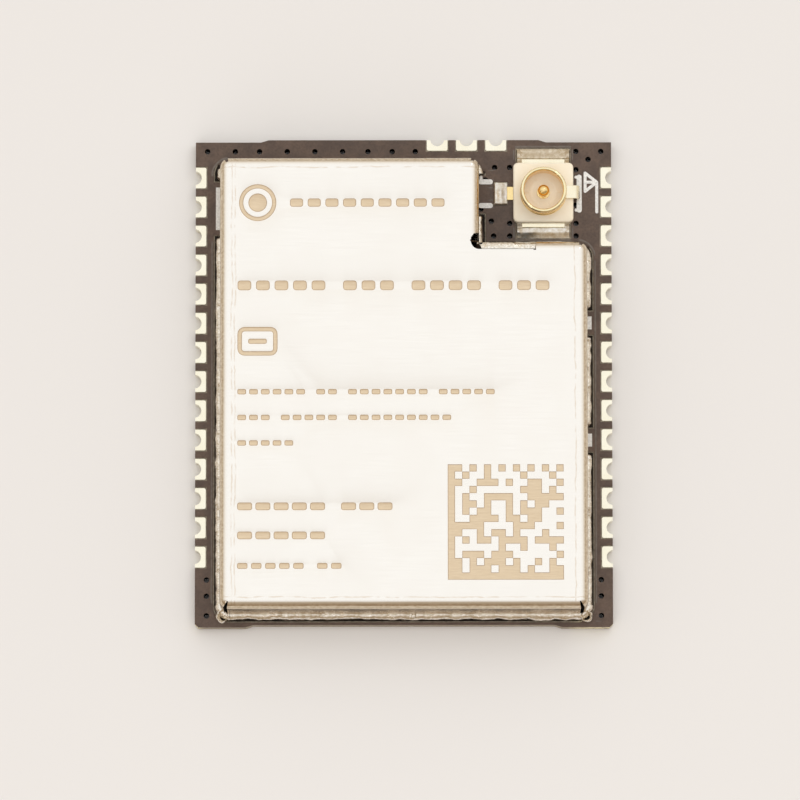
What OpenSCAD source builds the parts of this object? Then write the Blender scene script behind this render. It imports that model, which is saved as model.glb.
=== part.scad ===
// Radio module: a castellated board with a folded shield can and a coax receptacle.
// The origin is the centre of the board's footprint, on its underside. +X is to the
// right, +Y towards the edge with the receptacle, +Z up. Sizes are in millimetres.

/* [Board] */
// Width of the board, across its two long rows of edge pads
board_w = 18; // [17.6:0.1:22]
// Length of the board, from the front corners to the receptacle's edge
board_l = 21.2; // [21:0.1:26]
// Finished thickness of the board, from mask to mask
board_t = 0.8; // [0.6:0.05:1.6]
// Thickness of the solder mask together with the copper under it
mask_t = 0.055; // [0.045:0.005:0.08]
// Depth of an open pad's face below the face of the mask
pad_recess = 0.02; // [0.01:0.005:0.03]
// Gap between the mask and an open pad
mask_gap = 0.05; // [0.03:0.01:0.06]
// Step in the routed edges, where the board was broken out of its panel
edge_step = 0.1; // [0.02:0.01:0.12]
// Run of the slope into that step
edge_slope = 0.32; // [0.1:0.02:0.5]
// Width of each corner ear on the front edge
ear_w = 2.5; // [1.5:0.1:4]
// Distance from the long edges to the raised land on the receptacle's edge
land_side = 3.15; // [1:0.05:4]
// Chamfer of the two front corners
corner_cut = 0.15; // [0.05:0.05:0.5]

/* [Edge pads] */
// Pitch of the edge pads
pad_pitch = 1.27; // [1.2:0.01:1.3]
// Number of pads along the receptacle's edge
rear_pads = 3; // [1:1:3]
// Width of an edge pad, along its edge
pad_w = 0.9; // [0.75:0.05:1]
// Reach of an edge pad onto the top face
pad_reach = 0.46; // [0.4:0.02:0.5]
// Reach of an edge pad onto the underside
foot_reach = 0.9; // [0.7:0.05:1.4]
// Radius of the rounded inner corners of a pad
pad_corner_r = 0.08; // [0.04:0.01:0.12]
// Radius of the half-round cut in each edge pad
half_hole_r = 0.3; // [0.2:0.01:0.32]
// Distance of that cut's centre outside the board's edge
half_hole_out = 0.04; // [0:0.01:0.1]
// Thickness of the plating in drilled holes
plating_t = 0.03; // [0.02:0.005:0.04]
// Distance from the receptacle's edge to the first side pad
first_pad = 1.65; // [1.2:0.05:2]
// Least distance from the last side pad to the front corner
last_pad = 3; // [2.6:0.1:4]
// Distance from the board's centre line to the first rear pad
rear_pad_x = 1.46; // [1:0.01:1.6]

/* [Vias] */
// Radius of a drilled via
via_r = 0.12; // [0.1:0.01:0.16]
// Distance of the outer vias from the board's edges
via_edge = 0.5; // [0.4:0.05:0.6]
// Least gap between the last via in the row behind the can and the board's edge
via_gap = 0.2; // [0.1:0.05:0.3]

/* [Ground pads underneath] */
// Side of one square ground pad
thermal_pad = 0.9; // [0.6:0.05:1.1]
// Pitch of the ground pads
thermal_pitch = 1.4; // [1.25:0.05:2]
// Number of ground pads along each side of their grid
thermal_count = 3; // [1:1:4]
// Distance of the grid's middle in front of the board's centre
thermal_front = 0.9; // [0:0.1:3]
// Chamfer of the first ground pad
thermal_cut = 0.25; // [0.1:0.05:0.4]

/* [Shield can] */
// Distance of the can's side walls from the board's long edges
can_side = 1.1; // [1:0.02:1.6]
// Distance of the can's front wall from the board's front corners
can_front = 0.53; // [0.48:0.01:0.7]
// Distance of the can's rear wall from the receptacle's edge
can_rear = 1.1; // [1:0.02:1.6]
// Height of the can's top above the board
can_h = 2.4; // [1.8:0.1:4]
// Thickness of the can's sheet
sheet_t = 0.2; // [0.15:0.01:0.25]
// Outer radius of the can's folds
bend_r = 0.4; // [0.35:0.01:0.5]
// Width of the slit between two neighbouring walls
corner_slit = 0.1; // [0.05:0.01:0.15]
// Gap between the receptacle's body and the side wall of its bay
bay_side_gap = 1.5; // [1.3:0.05:1.8]
// Gap between the receptacle's body and the front wall of its bay
bay_front_gap = 1.1; // [1:0.05:1.6]
// Length of the bay's front wall, from the can's side
bay_wall_l = 2.1; // [1.2:0.1:3]
// Run of the slope that leads from the straight-cut edge to that wall
bay_slope = 0.22; // [0.05:0.01:0.3]
// Radius of the relief hole in the bay's inner corner
relief_r = 0.36; // [0.25:0.01:0.45]

/* [Ground track] */
// Reach of the ground track outside the can's walls
track_out = 0.27; // [0.25:0.01:0.3]
// Width of the ground track
track_w = 0.65; // [0.5:0.05:0.9]
// Radius of the solder bead along the walls
bead_r = 0.24; // [0.15:0.01:0.25]
// Length of the gap in the left track
left_gap = 2.4; // [1:0.1:4]
// Distance from the can's rear face to the middle of the left gap
left_gap_at = 1.9; // [1.9:0.1:4]
// Length of each gap in the right track
right_gap = 1.1; // [0.6:0.1:2]
// Distances from the bay's front wall to the middles of the right gaps
right_gap_at = [3.25, 8.35];
// Length of the gap in the track of the bay's side wall
rf_gap = 1.8; // [1.2:0.1:2]

/* [Receptacle] */
// Distance from the board's right edge to the receptacle's axis
coax_side = 2.95; // [2.8:0.05:3.2]
// Distance from the receptacle's edge of the board to its axis
coax_rear = 2.35; // [2.3:0.05:2.6]
// Side of the square moulded body
coax_body = 2.6; // [2.4:0.05:2.8]
// Height of the moulded body
coax_body_h = 0.4; // [0.3:0.05:0.6]
// Radius of the moulded body's corners
coax_corner_r = 0.2; // [0.1:0.05:0.4]
// Outer diameter of the barrel
coax_od = 2; // [1.9:0.05:2.1]
// Wall thickness of the barrel
coax_wall = 0.16; // [0.12:0.01:0.2]
// Height of the barrel's rim over the seat
coax_h = 1.25; // [1.1:0.05:1.6]
// Flare of the barrel's foot inside the moulded body
foot_flare = 0.17; // [0.1:0.01:0.2]
// Depth of the latch groove around the barrel
groove_d = 0.05; // [0.02:0.01:0.06]
// Width of the latch groove
groove_w = 0.4; // [0.3:0.05:0.5]
// Diameter of the centre contact's ball tip
tip_d = 0.52; // [0.4:0.02:0.6]
// Depth of the tip's top below the barrel's rim
tip_drop = 0.1; // [0.05:0.01:0.2]
// Diameter of the centre contact's neck
neck_d = 0.4; // [0.3:0.02:0.4]
// Width of the collar around the neck's foot
collar_w = 0.08; // [0.04:0.01:0.1]
// Thickness of the outer contact's sheet
contact_t = 0.12; // [0.1:0.01:0.15]
// Thickness of the signal lead
lead_t = 0.08; // [0.06:0.01:0.1]
// Radius of the hole in the outer contact's base plate
plate_hole_r = 0.62; // [0.5:0.02:0.7]
// Gap between the signal lead and the outer contact's base plate
plate_slot = 0.15; // [0.1:0.01:0.2]
// Width of the two wide ground tabs
ground_tab_w = 1.86; // [1.6:0.02:2]
// Reach of the ground tabs outside the body
ground_tab_out = 0.2; // [0.1:0.02:0.3]
// Width of the signal lead and of the strap opposite to it
lead_w = 0.58; // [0.4:0.02:0.7]
// Reach of the signal lead outside the body
lead_out = 0.4; // [0.3:0.02:0.5]
// Reach of the strap outside the body
strap_out = 0.27; // [0.15:0.01:0.35]
// Length of a ground pad outside the body
coax_pad_out = 0.65; // [0.5:0.05:0.75]
// Length of a ground pad under the body
coax_pad_in = 0.35; // [0.2:0.05:0.4]
// Width of a ground pad on either side of its tab
coax_pad_side = 0.23; // [0.1:0.01:0.3]
// Length of the signal pad
signal_pad_l = 1; // [0.8:0.05:1.1]
// Width of the signal pad
signal_pad_w = 0.95; // [0.7:0.05:1]
// Length of the signal pad under the body
signal_pad_in = 0.2; // [0.1:0.02:0.3]
// Width of the trace to the signal pad
trace_w = 0.34; // [0.2:0.02:0.5]
// Length of that trace under the can
trace_in = 1.6; // [1:0.1:2]
// Radius of the solder bank in front of a ground tab
bank_r = 0.18; // [0.1:0.01:0.25]
// Height of the solder over the signal lead
lump_h = 0.12; // [0.05:0.01:0.2]
// Reach of the solder along the signal lead
lump_over = 0.16; // [0.1:0.01:0.25]

/* [Printed marks] */
// Thickness of the printed ink
ink_t = 0.015; // [0.01:0.005:0.03]
// Width of a printed bar
ink_w = 0.22; // [0.15:0.01:0.25]
// Width of a thin printed line
ink_thin = 0.13; // [0.1:0.01:0.2]
// Width of the patches under the can's walls
patch_w = 0.45; // [0.3:0.05:0.5]
// Distance of the two printed bars from the receptacle's axis line
bar_out = 0.52; // [0.4:0.02:0.6]
// Length of the two printed bars
bar_l = 0.4; // [0.3:0.05:0.5]
// Distance of the printed bracket from the receptacle's axis
bracket_at = 1.56; // [1.5:0.02:1.6]
// Half of the bracket's height
bracket_half = 0.72; // [0.5:0.02:0.9]
// Length of the bracket's two ends
bracket_end = 0.14; // [0.1:0.02:0.16]
// Length of the thin line that rises from the rear bar
bar_rise = 0.2; // [0.1:0.05:0.25]
// Distance of the aerial sign from the receptacle's axis
sign_at = 1.82; // [1.8:0.02:1.86]
// Distance of the aerial sign's middle behind the receptacle's axis
sign_up = 0.5; // [0.3:0.05:0.6]
// Length of the aerial sign's triangle
sign_l = 0.5; // [0.3:0.05:0.6]
// Half of the height of that triangle
sign_half = 0.4; // [0.3:0.05:0.5]
// Length of the aerial sign's mast
mast_l = 1.3; // [0.8:0.1:1.4]

/* [Parts under the can] */
// Side of the square system chip
soc_w = 6; // [5:0.5:7]
// Height of the system chip
soc_h = 0.85; // [0.6:0.05:1]
// Leads along each side of the system chip
soc_leads_n = 10; // [6:2:10]
// Pitch of the system chip's leads
soc_pitch = 0.5; // [0.4:0.05:0.5]
// Length of a chip package's lead
package_lead = 0.5; // [0.3:0.05:0.6]
// Thickness of a chip package's lead
package_lead_t = 0.2; // [0.1:0.05:0.25]
// Width of the flash memory
flash_w = 3; // [2:0.1:3.2]
// Length of the flash memory
flash_l = 4; // [3:0.1:4.4]
// Height of the flash memory
flash_h = 0.6; // [0.5:0.05:1]
// Leads along each end of the flash memory
flash_leads_n = 4; // [2:1:4]
// Pitch of the flash memory's leads
flash_pitch = 0.65; // [0.5:0.05:0.7]
// Length of the crystal
crystal_l = 3.2; // [2:0.1:3.4]
// Width of the crystal
crystal_w = 2.5; // [1.6:0.1:2.6]
// Height of the crystal
crystal_h = 0.7; // [0.5:0.05:1]
// Thickness of the crystal's lid
crystal_lid_t = 0.2; // [0.1:0.05:0.3]
// Width of the ledge around that lid
crystal_ledge = 0.12; // [0.05:0.01:0.2]
// Length of a land of the crystal
crystal_land_l = 1; // [0.6:0.05:1.2]
// Width of a land of the crystal
crystal_land_w = 0.8; // [0.5:0.05:0.9]
// Length of a small chip part
chip_l = 1; // [0.8:0.05:1.2]
// Width of a small chip part
chip_w = 0.5; // [0.3:0.05:0.7]
// Height of a ceramic capacitor
cap_h = 0.5; // [0.3:0.05:0.7]
// Height of a resistor
resistor_h = 0.35; // [0.25:0.05:0.5]
// Length of a power inductor
inductor_l = 2; // [1.6:0.1:2.2]
// Width of a power inductor
inductor_w = 1.6; // [1:0.1:1.8]
// Height of a power inductor
inductor_h = 0.95; // [0.6:0.05:1.1]
// Length of a chip part's metal end
chip_end = 0.25; // [0.15:0.05:0.3]
// Length of a power inductor's metal end
coil_end = 0.45; // [0.3:0.05:0.6]
// Pitch of the capacitors in a row
cap_pitch = 1.4; // [1:0.1:1.5]
// Pitch of the resistors in their row
resistor_pitch = 1; // [0.8:0.05:1.2]
// Distance between the two power inductors' middles
coil_pitch = 3; // [2.6:0.1:3.4]
// Gap between two neighbouring rows of parts
part_gap = 0.5; // [0.4:0.05:0.7]
// Gap between the can's front wall and the crystal
crystal_gap = 0.6; // [0.5:0.05:1]
// Gap between the can's left wall and the flash memory
flash_gap = 1.3; // [0.8:0.1:1.5]
// Gap between the can's right wall and the power inductors
coil_gap = 0.9; // [0.6:0.1:1.2]
// Distance from a package's edge to the land under its middle
centre_in = 1.2; // [1:0.05:1.4]

/* [Hidden] */
$fn = 48;

// Overshoot of a cutting shape past the face that it cuts
cut = 0.1;

// Heights of the board's layers
pad_t = mask_t - pad_recess;
core_z0 = mask_t;
core_z1 = board_t - mask_t;
pad_z1 = core_z1 + pad_t;
// Seat of the can and of every soldered part: the top of the printed ink
seat_z = board_t + ink_t;

half_w = board_w / 2;
half_l = board_l / 2;

// Faces of the can's walls
can_x = half_w - can_side;
can_y0 = -half_l + can_front;
can_y1 = half_l - can_rear;
can_z1 = board_t + can_h;
fold_in_r = bend_r - sheet_t;

// Receptacle's axis, and the bay's walls around it
coax_x = half_w - coax_side;
coax_y = half_l - coax_rear;
bay_x = coax_x - coax_body / 2 - bay_side_gap;
bay_y = coax_y - coax_body / 2 - bay_front_gap;
bay_wall_x = can_x - bay_wall_l;
// Start of the slit beside each wall that runs along X
slit_x = sheet_t + corner_slit;

// Board

// As many pads along each long edge as fit between the first and the front corner
side_pads = floor((board_l - first_pad - last_pad) / pad_pitch) + 1;

function side_pad_y(i) = half_l - first_pad - i * pad_pitch;
function rear_pad_at(i) = rear_pad_x + i * pad_pitch;

// Middles of the vias. A row behind the can is placed by its distances from the first
// rear pad, two short rows by those from the front corners, and a fence of single vias by
// those from the receptacle's axis. The row behind the can stops short of the edge.
rear_row = [0.95, 1.95, 3, 4.1, 5.3, 6.5, 7.7, 8.75, 9.95];
rear_row_end = -half_w + via_gap + via_r;
corner_row = [0.5, 1.35, 2.05];
fence = [
    [-2.1, 1.15], [-1.45, 1.15], [-2.5, 0.6], [-2.7, -0.67], [-2.25, -1.2],
    [-1.45, -1.3], [-2.15, -1.85], [-1.45, -1.85], [1.42, 1.85], [2.5, 1.85],
    [1.95, 1.5], [1.42, 1.05], [1.42, -0.5], [1.42, -1.3], [1.42, -1.85]
];
vias = concat(
    [
        for (d = rear_row)
            if (rear_pad_x - d > rear_row_end)
                [rear_pad_x - d, half_l - via_edge]
    ],
    [for (side = [-1, 1], d = corner_row) [side * (half_w - via_edge), d - half_l]],
    [for (p = fence) [coax_x + p[0], coax_y + p[1]]]
);

// Outline of the board, with its corner ears and its raised rear land
module board_outline() {
    recess_x = half_w - ear_w;
    land_x = half_w - land_side;
    polygon([
        [-half_w + corner_cut, -half_l],
        [-recess_x - edge_slope, -half_l],
        [-recess_x, -half_l + edge_step],
        [recess_x, -half_l + edge_step],
        [recess_x + edge_slope, -half_l],
        [half_w - corner_cut, -half_l],
        [half_w, -half_l + corner_cut],
        [half_w, half_l - edge_step],
        [land_x + edge_slope, half_l - edge_step],
        [land_x, half_l],
        [-land_x, half_l],
        [-land_x - edge_slope, half_l - edge_step],
        [-half_w, half_l - edge_step],
        [-half_w, -half_l + corner_cut]
    ]);
}

// Puts its child at every edge pad of one row: the child's +X points into the board
module at_left_pads() {
    for (i = [0:side_pads - 1])
        translate([-half_w, side_pad_y(i), 0])
            children();
}

module at_right_pads() {
    mirror([1, 0, 0])
        at_left_pads()
            children();
}

module at_rear_pads() {
    for (i = [0:rear_pads - 1])
        translate([rear_pad_at(i), half_l, 0])
            rotate(-90)
                children();
}

module at_edge_pads() {
    at_left_pads()
        children();
    at_right_pads()
        children();
    at_rear_pads()
        children();
}

// Face of an edge pad before its half-hole is cut, square at the edge and round inside
module edge_pad_face(reach) {
    translate([0, -pad_w / 2])
        square([reach - pad_corner_r, pad_w]);
    translate([0, -pad_w / 2 + pad_corner_r])
        square([reach, pad_w - 2 * pad_corner_r]);
    for (side = [-1, 1])
        translate([reach - pad_corner_r, side * (pad_w / 2 - pad_corner_r)])
            circle(r = pad_corner_r);
}

// Cut of an edge pad's half-hole
module half_hole(r) {
    translate([-half_hole_out, 0])
        circle(r = r);
}

// Opening that the mask leaves at an edge pad
module edge_pad_opening(reach) {
    translate([-cut, -pad_w / 2 - mask_gap])
        square([reach + mask_gap + cut, pad_w + 2 * mask_gap]);
}

// One plated edge pad: a face on the top, a foot underneath and the half-hole's lining
module edge_pad() {
    difference() {
        union() {
            translate([0, 0, core_z1])
                linear_extrude(pad_t)
                    edge_pad_face(pad_reach);
            translate([0, 0, core_z0 - pad_t])
                linear_extrude(pad_t)
                    edge_pad_face(foot_reach);
            translate([0, 0, core_z0])
                linear_extrude(core_z1 - core_z0)
                    intersection() {
                        half_hole(half_hole_r + plating_t);
                        translate([0, -pad_w / 2])
                            square([pad_reach, pad_w]);
                    }
        }
        translate([0, 0, -cut])
            linear_extrude(board_t + 2 * cut)
                half_hole(half_hole_r);
    }
}

module board_laminate() {
    color("#c9b27c")
        translate([0, 0, core_z0])
            linear_extrude(core_z1 - core_z0)
                difference() {
                    board_outline();
                    at_edge_pads()
                        half_hole(half_hole_r + plating_t);
                    for (v = vias)
                        translate(v)
                            circle(r = via_r + plating_t);
                }
}

module mask_top() {
    color("#5a4c46")
        difference() {
            translate([0, 0, core_z1])
                linear_extrude(mask_t)
                    difference() {
                        board_outline();
                        at_edge_pads()
                            edge_pad_opening(pad_reach);
                        for (v = vias)
                            translate(v)
                                circle(r = via_r);
                        track_plan(mask_gap);
                        receptacle_pads_plan(mask_gap);
                        for (land = lands)
                            land_plan(land, mask_gap);
                    }
            rf_trace_form();
        }
}

module mask_underside() {
    color("#5a4c46")
        linear_extrude(mask_t)
            difference() {
                board_outline();
                at_edge_pads()
                    edge_pad_opening(foot_reach);
                for (v = vias)
                    translate(v)
                        circle(r = via_r);
                thermal_plan(mask_gap);
            }
}

module edge_pads_left() {
    color("#f3d98f")
        at_left_pads()
            edge_pad();
}

module edge_pads_right() {
    color("#f3d98f")
        at_right_pads()
            edge_pad();
}

module edge_pads_rear() {
    color("#f3d98f")
        at_rear_pads()
            edge_pad();
}

// Plated linings of the vias, which end under the masks
module via_barrels() {
    color("#d9a25f")
        for (v = vias)
            translate([v[0], v[1], core_z0])
                difference() {
                    cylinder(r = via_r + plating_t, h = core_z1 - core_z0);
                    translate([0, 0, -cut])
                        cylinder(r = via_r, h = core_z1 - core_z0 + 2 * cut);
                }
}

// Square ground pads underneath. The one nearest to the first edge pad has a cut corner.
module thermal_plan(gap) {
    side = thermal_pad + 2 * gap;
    middle = (thermal_count - 1) / 2;
    first = thermal_count - 1;
    for (i = [0:thermal_count - 1], j = [0:thermal_count - 1])
        translate([(i - middle) * thermal_pitch, (j - middle) * thermal_pitch - thermal_front])
            difference() {
                square(side, center = true);
                if (i == 0 && j == first)
                    translate([-side / 2, side / 2])
                        rotate(45)
                            square(thermal_cut * sqrt(2), center = true);
            }
}

module thermal_pads() {
    color("#f3d98f")
        translate([0, 0, core_z0 - pad_t])
            linear_extrude(pad_t)
                thermal_plan(0);
}

// Ground track and solder of the can

// Stretches of one straight wall that are soldered, as [start, end] along the wall
left_y_gap = can_y1 - left_gap_at;
left_runs = [
    [left_y_gap + left_gap / 2, can_y1 - bend_r],
    [can_y0 + bend_r, left_y_gap - left_gap / 2]
];
right_middles = [for (d = right_gap_at) bay_y - d];
right_runs = [
    [right_middles[0] + right_gap / 2, bay_y - bend_r],
    [right_middles[1] + right_gap / 2, right_middles[0] - right_gap / 2],
    [can_y0 + bend_r, right_middles[1] - right_gap / 2]
];
bay_run = [bay_y + track_out, coax_y - rf_gap / 2];

// A wall's straight run, as [x, y, angle, length]: it starts at (x, y) on the wall's
// outer face and goes along the local X, with the local Y pointing out of the can
runs = concat(
    [for (r = left_runs) [-can_x, r[0], 90, r[1] - r[0]]],
    [for (r = right_runs) [can_x, r[1], -90, r[1] - r[0]]],
    [[bay_x, bay_run[1], -90, bay_run[1] - bay_run[0]]],
    [[can_x - bend_r, can_y0, 180, 2 * (can_x - bend_r)]],
    [[-can_x + bend_r, can_y1, 0, bay_x + can_x - 2 * bend_r]],
    [[bay_x, bay_y, 0, can_x - bend_r - bay_x]]
);

// Outer corners of the can, as [x, y, angle] of the rounding's centre and its start
corners = [
    [-can_x + bend_r, can_y0 + bend_r, 180],
    [can_x - bend_r, can_y0 + bend_r, 270],
    [can_x - bend_r, bay_y - bend_r, 0],
    [bay_x - bend_r, can_y1 - bend_r, 0],
    [-can_x + bend_r, can_y1 - bend_r, 90]
];

// Plan of the ground track, widened by a gap all round
module track_plan(gap) {
    inner = track_w - track_out;
    for (r = runs)
        translate([r[0], r[1]])
            rotate(r[2])
                translate([-gap, -inner - gap])
                    square([r[3] + 2 * gap, track_w + 2 * gap]);
    // Corners, filled from the middle of the fold's rounding
    outer_r = bend_r + track_out + gap;
    start = min(bend_r - inner, 0) - gap;
    for (c = corners)
        translate([c[0], c[1]])
            rotate(c[2])
                intersection() {
                    circle(r = outer_r);
                    translate([start, start])
                        square(outer_r - start);
                }
}

module ground_track() {
    color("#f3d98f")
        translate([0, 0, core_z1])
            linear_extrude(pad_t)
                track_plan(0);
}

// Section of the solder along a wall: a film under the wall's foot and a round bead on
// its outer side. X points out of the can and starts at the wall's outer face.
module solder_section() {
    translate([-sheet_t, pad_z1])
        square([sheet_t + bead_r, seat_z - pad_z1]);
    intersection() {
        translate([0, seat_z])
            circle(r = bead_r);
        translate([0, seat_z])
            square(bead_r);
    }
}

module can_solder() {
    color("#d8d4cc") {
        for (r = runs)
            translate([r[0], r[1], 0])
                rotate([90, 0, r[2] + 90])
                    linear_extrude(r[3])
                        solder_section();
        for (c = corners)
            translate([c[0], c[1], 0])
                rotate(c[2])
                    rotate_extrude(angle = 90)
                        translate([bend_r, 0])
                            solder_section();
    }
}

// Shield can

// Section of a wall and its fold: X runs from the fold's inner edge out to the wall's
// outer face, and Y is the height
module wall_section() {
    fold_z = can_z1 - bend_r;
    translate([fold_in_r, seat_z])
        square([sheet_t, fold_z - seat_z]);
    translate([0, fold_z])
        intersection() {
            difference() {
                circle(r = bend_r);
                circle(r = fold_in_r);
            }
            square(bend_r);
        }
}

// A straight wall with its fold. It starts at (x, y) on the fold's inner edge and runs
// to the left of the direction that it faces.
module wall(x, y, facing, length) {
    translate([x, y, 0])
        rotate([90, 0, facing])
            translate([0, 0, -length])
                linear_extrude(length)
                    wall_section();
}

// A rounded corner between two walls, where the side wall is drawn round the front
module wall_corner(x, y, start) {
    translate([x, y, 0])
        rotate(start)
            rotate_extrude(angle = 90)
                wall_section();
}

// Flat top of the can, inside its folds. The edge in front of the bay is cut straight,
// up to the bay's short wall, where it slopes out to the fold.
module can_top_plan() {
    lip_y = bay_y - relief_r;
    fold_y = bay_y - bend_r;
    polygon([
        [-can_x + bend_r, can_y0 + bend_r],
        [can_x - bend_r, can_y0 + bend_r],
        [can_x - bend_r, fold_y],
        [bay_wall_x - bay_slope, fold_y],
        [bay_wall_x - bay_slope, lip_y],
        [bay_x, lip_y],
        [bay_x - bend_r, bay_y],
        [bay_x - bend_r, can_y1 - bend_r],
        [-can_x + bend_r, can_y1 - bend_r]
    ]);
}

module shield_can() {
    side_y = can_y0 + bend_r;
    lip_y = bay_y - relief_r;
    // The slits cut down from the top fold to the wall's foot
    slit_depth = bend_r + cut;
    slit_h = can_h + 2 * cut;
    color("#f4efe6")
        difference() {
            union() {
                translate([0, 0, can_z1 - sheet_t])
                    linear_extrude(sheet_t)
                        can_top_plan();
                wall(-can_x + bend_r, can_y1 - bend_r, 180, can_y1 - side_y - bend_r);
                wall(can_x - bend_r, side_y, 0, bay_y - bend_r - side_y);
                wall(bay_x - bend_r, bay_y, 0, can_y1 - bend_r - bay_y);
                wall(-can_x + bend_r, side_y, 270, 2 * (can_x - bend_r));
                wall(bay_x - bend_r, can_y1 - bend_r, 90, bay_x + can_x - 2 * bend_r);
                wall(can_x - bend_r, bay_y - bend_r, 90, bay_wall_l + bay_slope - bend_r);
                for (c = corners)
                    wall_corner(c[0], c[1], c[2]);
            }
            // Relief hole at the bay's inner corner
            translate([bay_x, bay_y, can_z1 - bend_r])
                cylinder(r = relief_r, h = bend_r + cut);
            // Sloped start of the bay's front wall
            translate([0, 0, board_t])
                linear_extrude(can_h + cut)
                    polygon([
                        [bay_wall_x - bay_slope, lip_y],
                        [bay_wall_x, lip_y + bay_slope],
                        [bay_wall_x, bay_y + cut],
                        [bay_wall_x - bay_slope - cut, bay_y + cut],
                        [bay_wall_x - bay_slope - cut, lip_y]
                    ]);
            // Slits beside the walls that run along X
            for (side = [-1, 1])
                translate([side * (can_x - slit_x + corner_slit / 2), can_y0 - cut, 0])
                    translate([-corner_slit / 2, 0, board_t])
                        cube([corner_slit, slit_depth, slit_h]);
            translate([-can_x + sheet_t, can_y1 - bend_r, board_t])
                cube([corner_slit, slit_depth, slit_h]);
            translate([bay_x - slit_x, can_y1 - bend_r, board_t])
                cube([corner_slit, slit_depth, slit_h]);
            translate([can_x - slit_x, bay_y - bend_r, board_t])
                cube([corner_slit, slit_depth, slit_h]);
        }
}

// Receptacle's lands, trace and marks

ground_pad_w = ground_tab_w + 2 * coax_pad_side;
// Ends of the signal pad and of the trace that leads to it
signal_pad_x0 = coax_x - coax_body / 2 + signal_pad_in - signal_pad_l;
trace_x0 = bay_x - trace_in;

module receptacle_pads_plan(gap) {
    ground_pad_l = coax_pad_out + coax_pad_in;
    ground_pad_y = coax_body / 2 + (coax_pad_out - coax_pad_in) / 2;
    for (side = [-1, 1])
        translate([coax_x, coax_y + side * ground_pad_y])
            square([ground_pad_w + 2 * gap, ground_pad_l + 2 * gap], center = true);
    translate([signal_pad_x0 + signal_pad_l / 2, coax_y])
        square([signal_pad_l + 2 * gap, signal_pad_w + 2 * gap], center = true);
}

module receptacle_pads() {
    color("#f3d98f")
        translate([0, 0, core_z1])
            linear_extrude(pad_t)
                receptacle_pads_plan(0);
}

// Trace between the matching inductor's land and the signal pad
module rf_trace_form() {
    translate([trace_x0, coax_y - trace_w / 2, core_z1])
        cube([signal_pad_x0 - trace_x0, trace_w, pad_t]);
}

module rf_trace() {
    color("#d9a25f")
        rf_trace_form();
}

// A printed line with round ends, from one point to the other along X or Y
module ink_line(x0, y0, x1, y1, w) {
    span = norm([x1 - x0, y1 - y0]);
    translate([x0, y0])
        rotate(atan2(y1 - y0, x1 - x0)) {
            translate([0, -w / 2])
                square([span, w]);
            circle(r = w / 2);
            translate([span, 0])
                circle(r = w / 2);
        }
}

// Patch that keeps a wall off the board in a gap of the track
module ink_patch(x, y, length) {
    translate([x, y])
        square([patch_w, length], center = true);
}

// Aerial sign beside the receptacle: an open triangle on a mast, lying on its side
module aerial_sign(x, y) {
    translate([x, y]) {
        ink_line(0, sign_half, sign_l, 0, ink_thin);
        ink_line(0, -sign_half, sign_l, 0, ink_thin);
        ink_line(0, sign_half, 0, -sign_half, ink_thin);
        ink_line(0, 0, sign_l, 0, ink_thin);
        ink_line(sign_l, 0, sign_l, -mast_l, ink_thin);
    }
}

// Bracket beside the receptacle, with its two ends turned towards it
module bracket(x, y) {
    ink_line(x, y - bracket_half, x, y + bracket_half, ink_w);
    for (side = [-1, 1])
        ink_line(x - bracket_end, y + side * bracket_half, x, y + side * bracket_half, ink_thin);
}

module printed_marks() {
    bar_x0 = bay_x + ink_w / 2;
    bar_x1 = bar_x0 + bar_l;
    color("#d5d3cc")
        translate([0, 0, board_t])
            linear_extrude(ink_t) {
                for (y = [coax_y - bar_out, coax_y + bar_out])
                    ink_line(bar_x0, y, bar_x1, y, ink_w);
                bracket(coax_x + bracket_at, coax_y);
                ink_line(bar_x0, coax_y + bar_out, bar_x0, coax_y + bar_out + bar_rise, ink_thin);
                aerial_sign(coax_x + sign_at, coax_y + sign_up);
                ink_patch(-can_x, left_y_gap, left_gap - 2 * track_out);
                for (y = right_middles)
                    ink_patch(can_x, y, right_gap - 2 * track_out);
            }
}

// Receptacle

// Profile of the barrel's wall: a flared foot inside the body, the round-bottomed latch
// groove over the body, and a rounded rim
module barrel_section() {
    outer = coax_od / 2;
    inner = outer - coax_wall;
    rim_r = coax_wall / 2;
    groove_r = groove_d / 2 + groove_w * groove_w / (8 * groove_d);
    difference() {
        polygon([
            [inner, contact_t],
            [outer + foot_flare, contact_t],
            [outer, coax_body_h],
            [outer, coax_h - rim_r],
            [inner, coax_h - rim_r]
        ]);
        intersection() {
            translate([outer - groove_d + groove_r, coax_body_h + groove_w / 2])
                circle(r = groove_r);
            translate([inner, coax_body_h])
                square([coax_wall + cut, groove_w]);
        }
    }
    translate([inner + rim_r, coax_h - rim_r])
        circle(r = rim_r);
}

// Side view of the strap: it lies on the body, bends round and turns down beside it
module strap_section() {
    strap_x0 = (coax_od - coax_wall) / 2;
    strap_x1 = coax_body / 2 + strap_out;
    fold_x = strap_x1 - 2 * contact_t;
    fold_z = coax_body_h - contact_t;
    translate([strap_x0, coax_body_h])
        square([fold_x - strap_x0, contact_t]);
    translate([fold_x, fold_z])
        intersection() {
            difference() {
                circle(r = 2 * contact_t);
                circle(r = contact_t);
            }
            square(2 * contact_t);
        }
    translate([strap_x1 - contact_t, contact_t])
        square([contact_t, fold_z - contact_t]);
}

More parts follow.
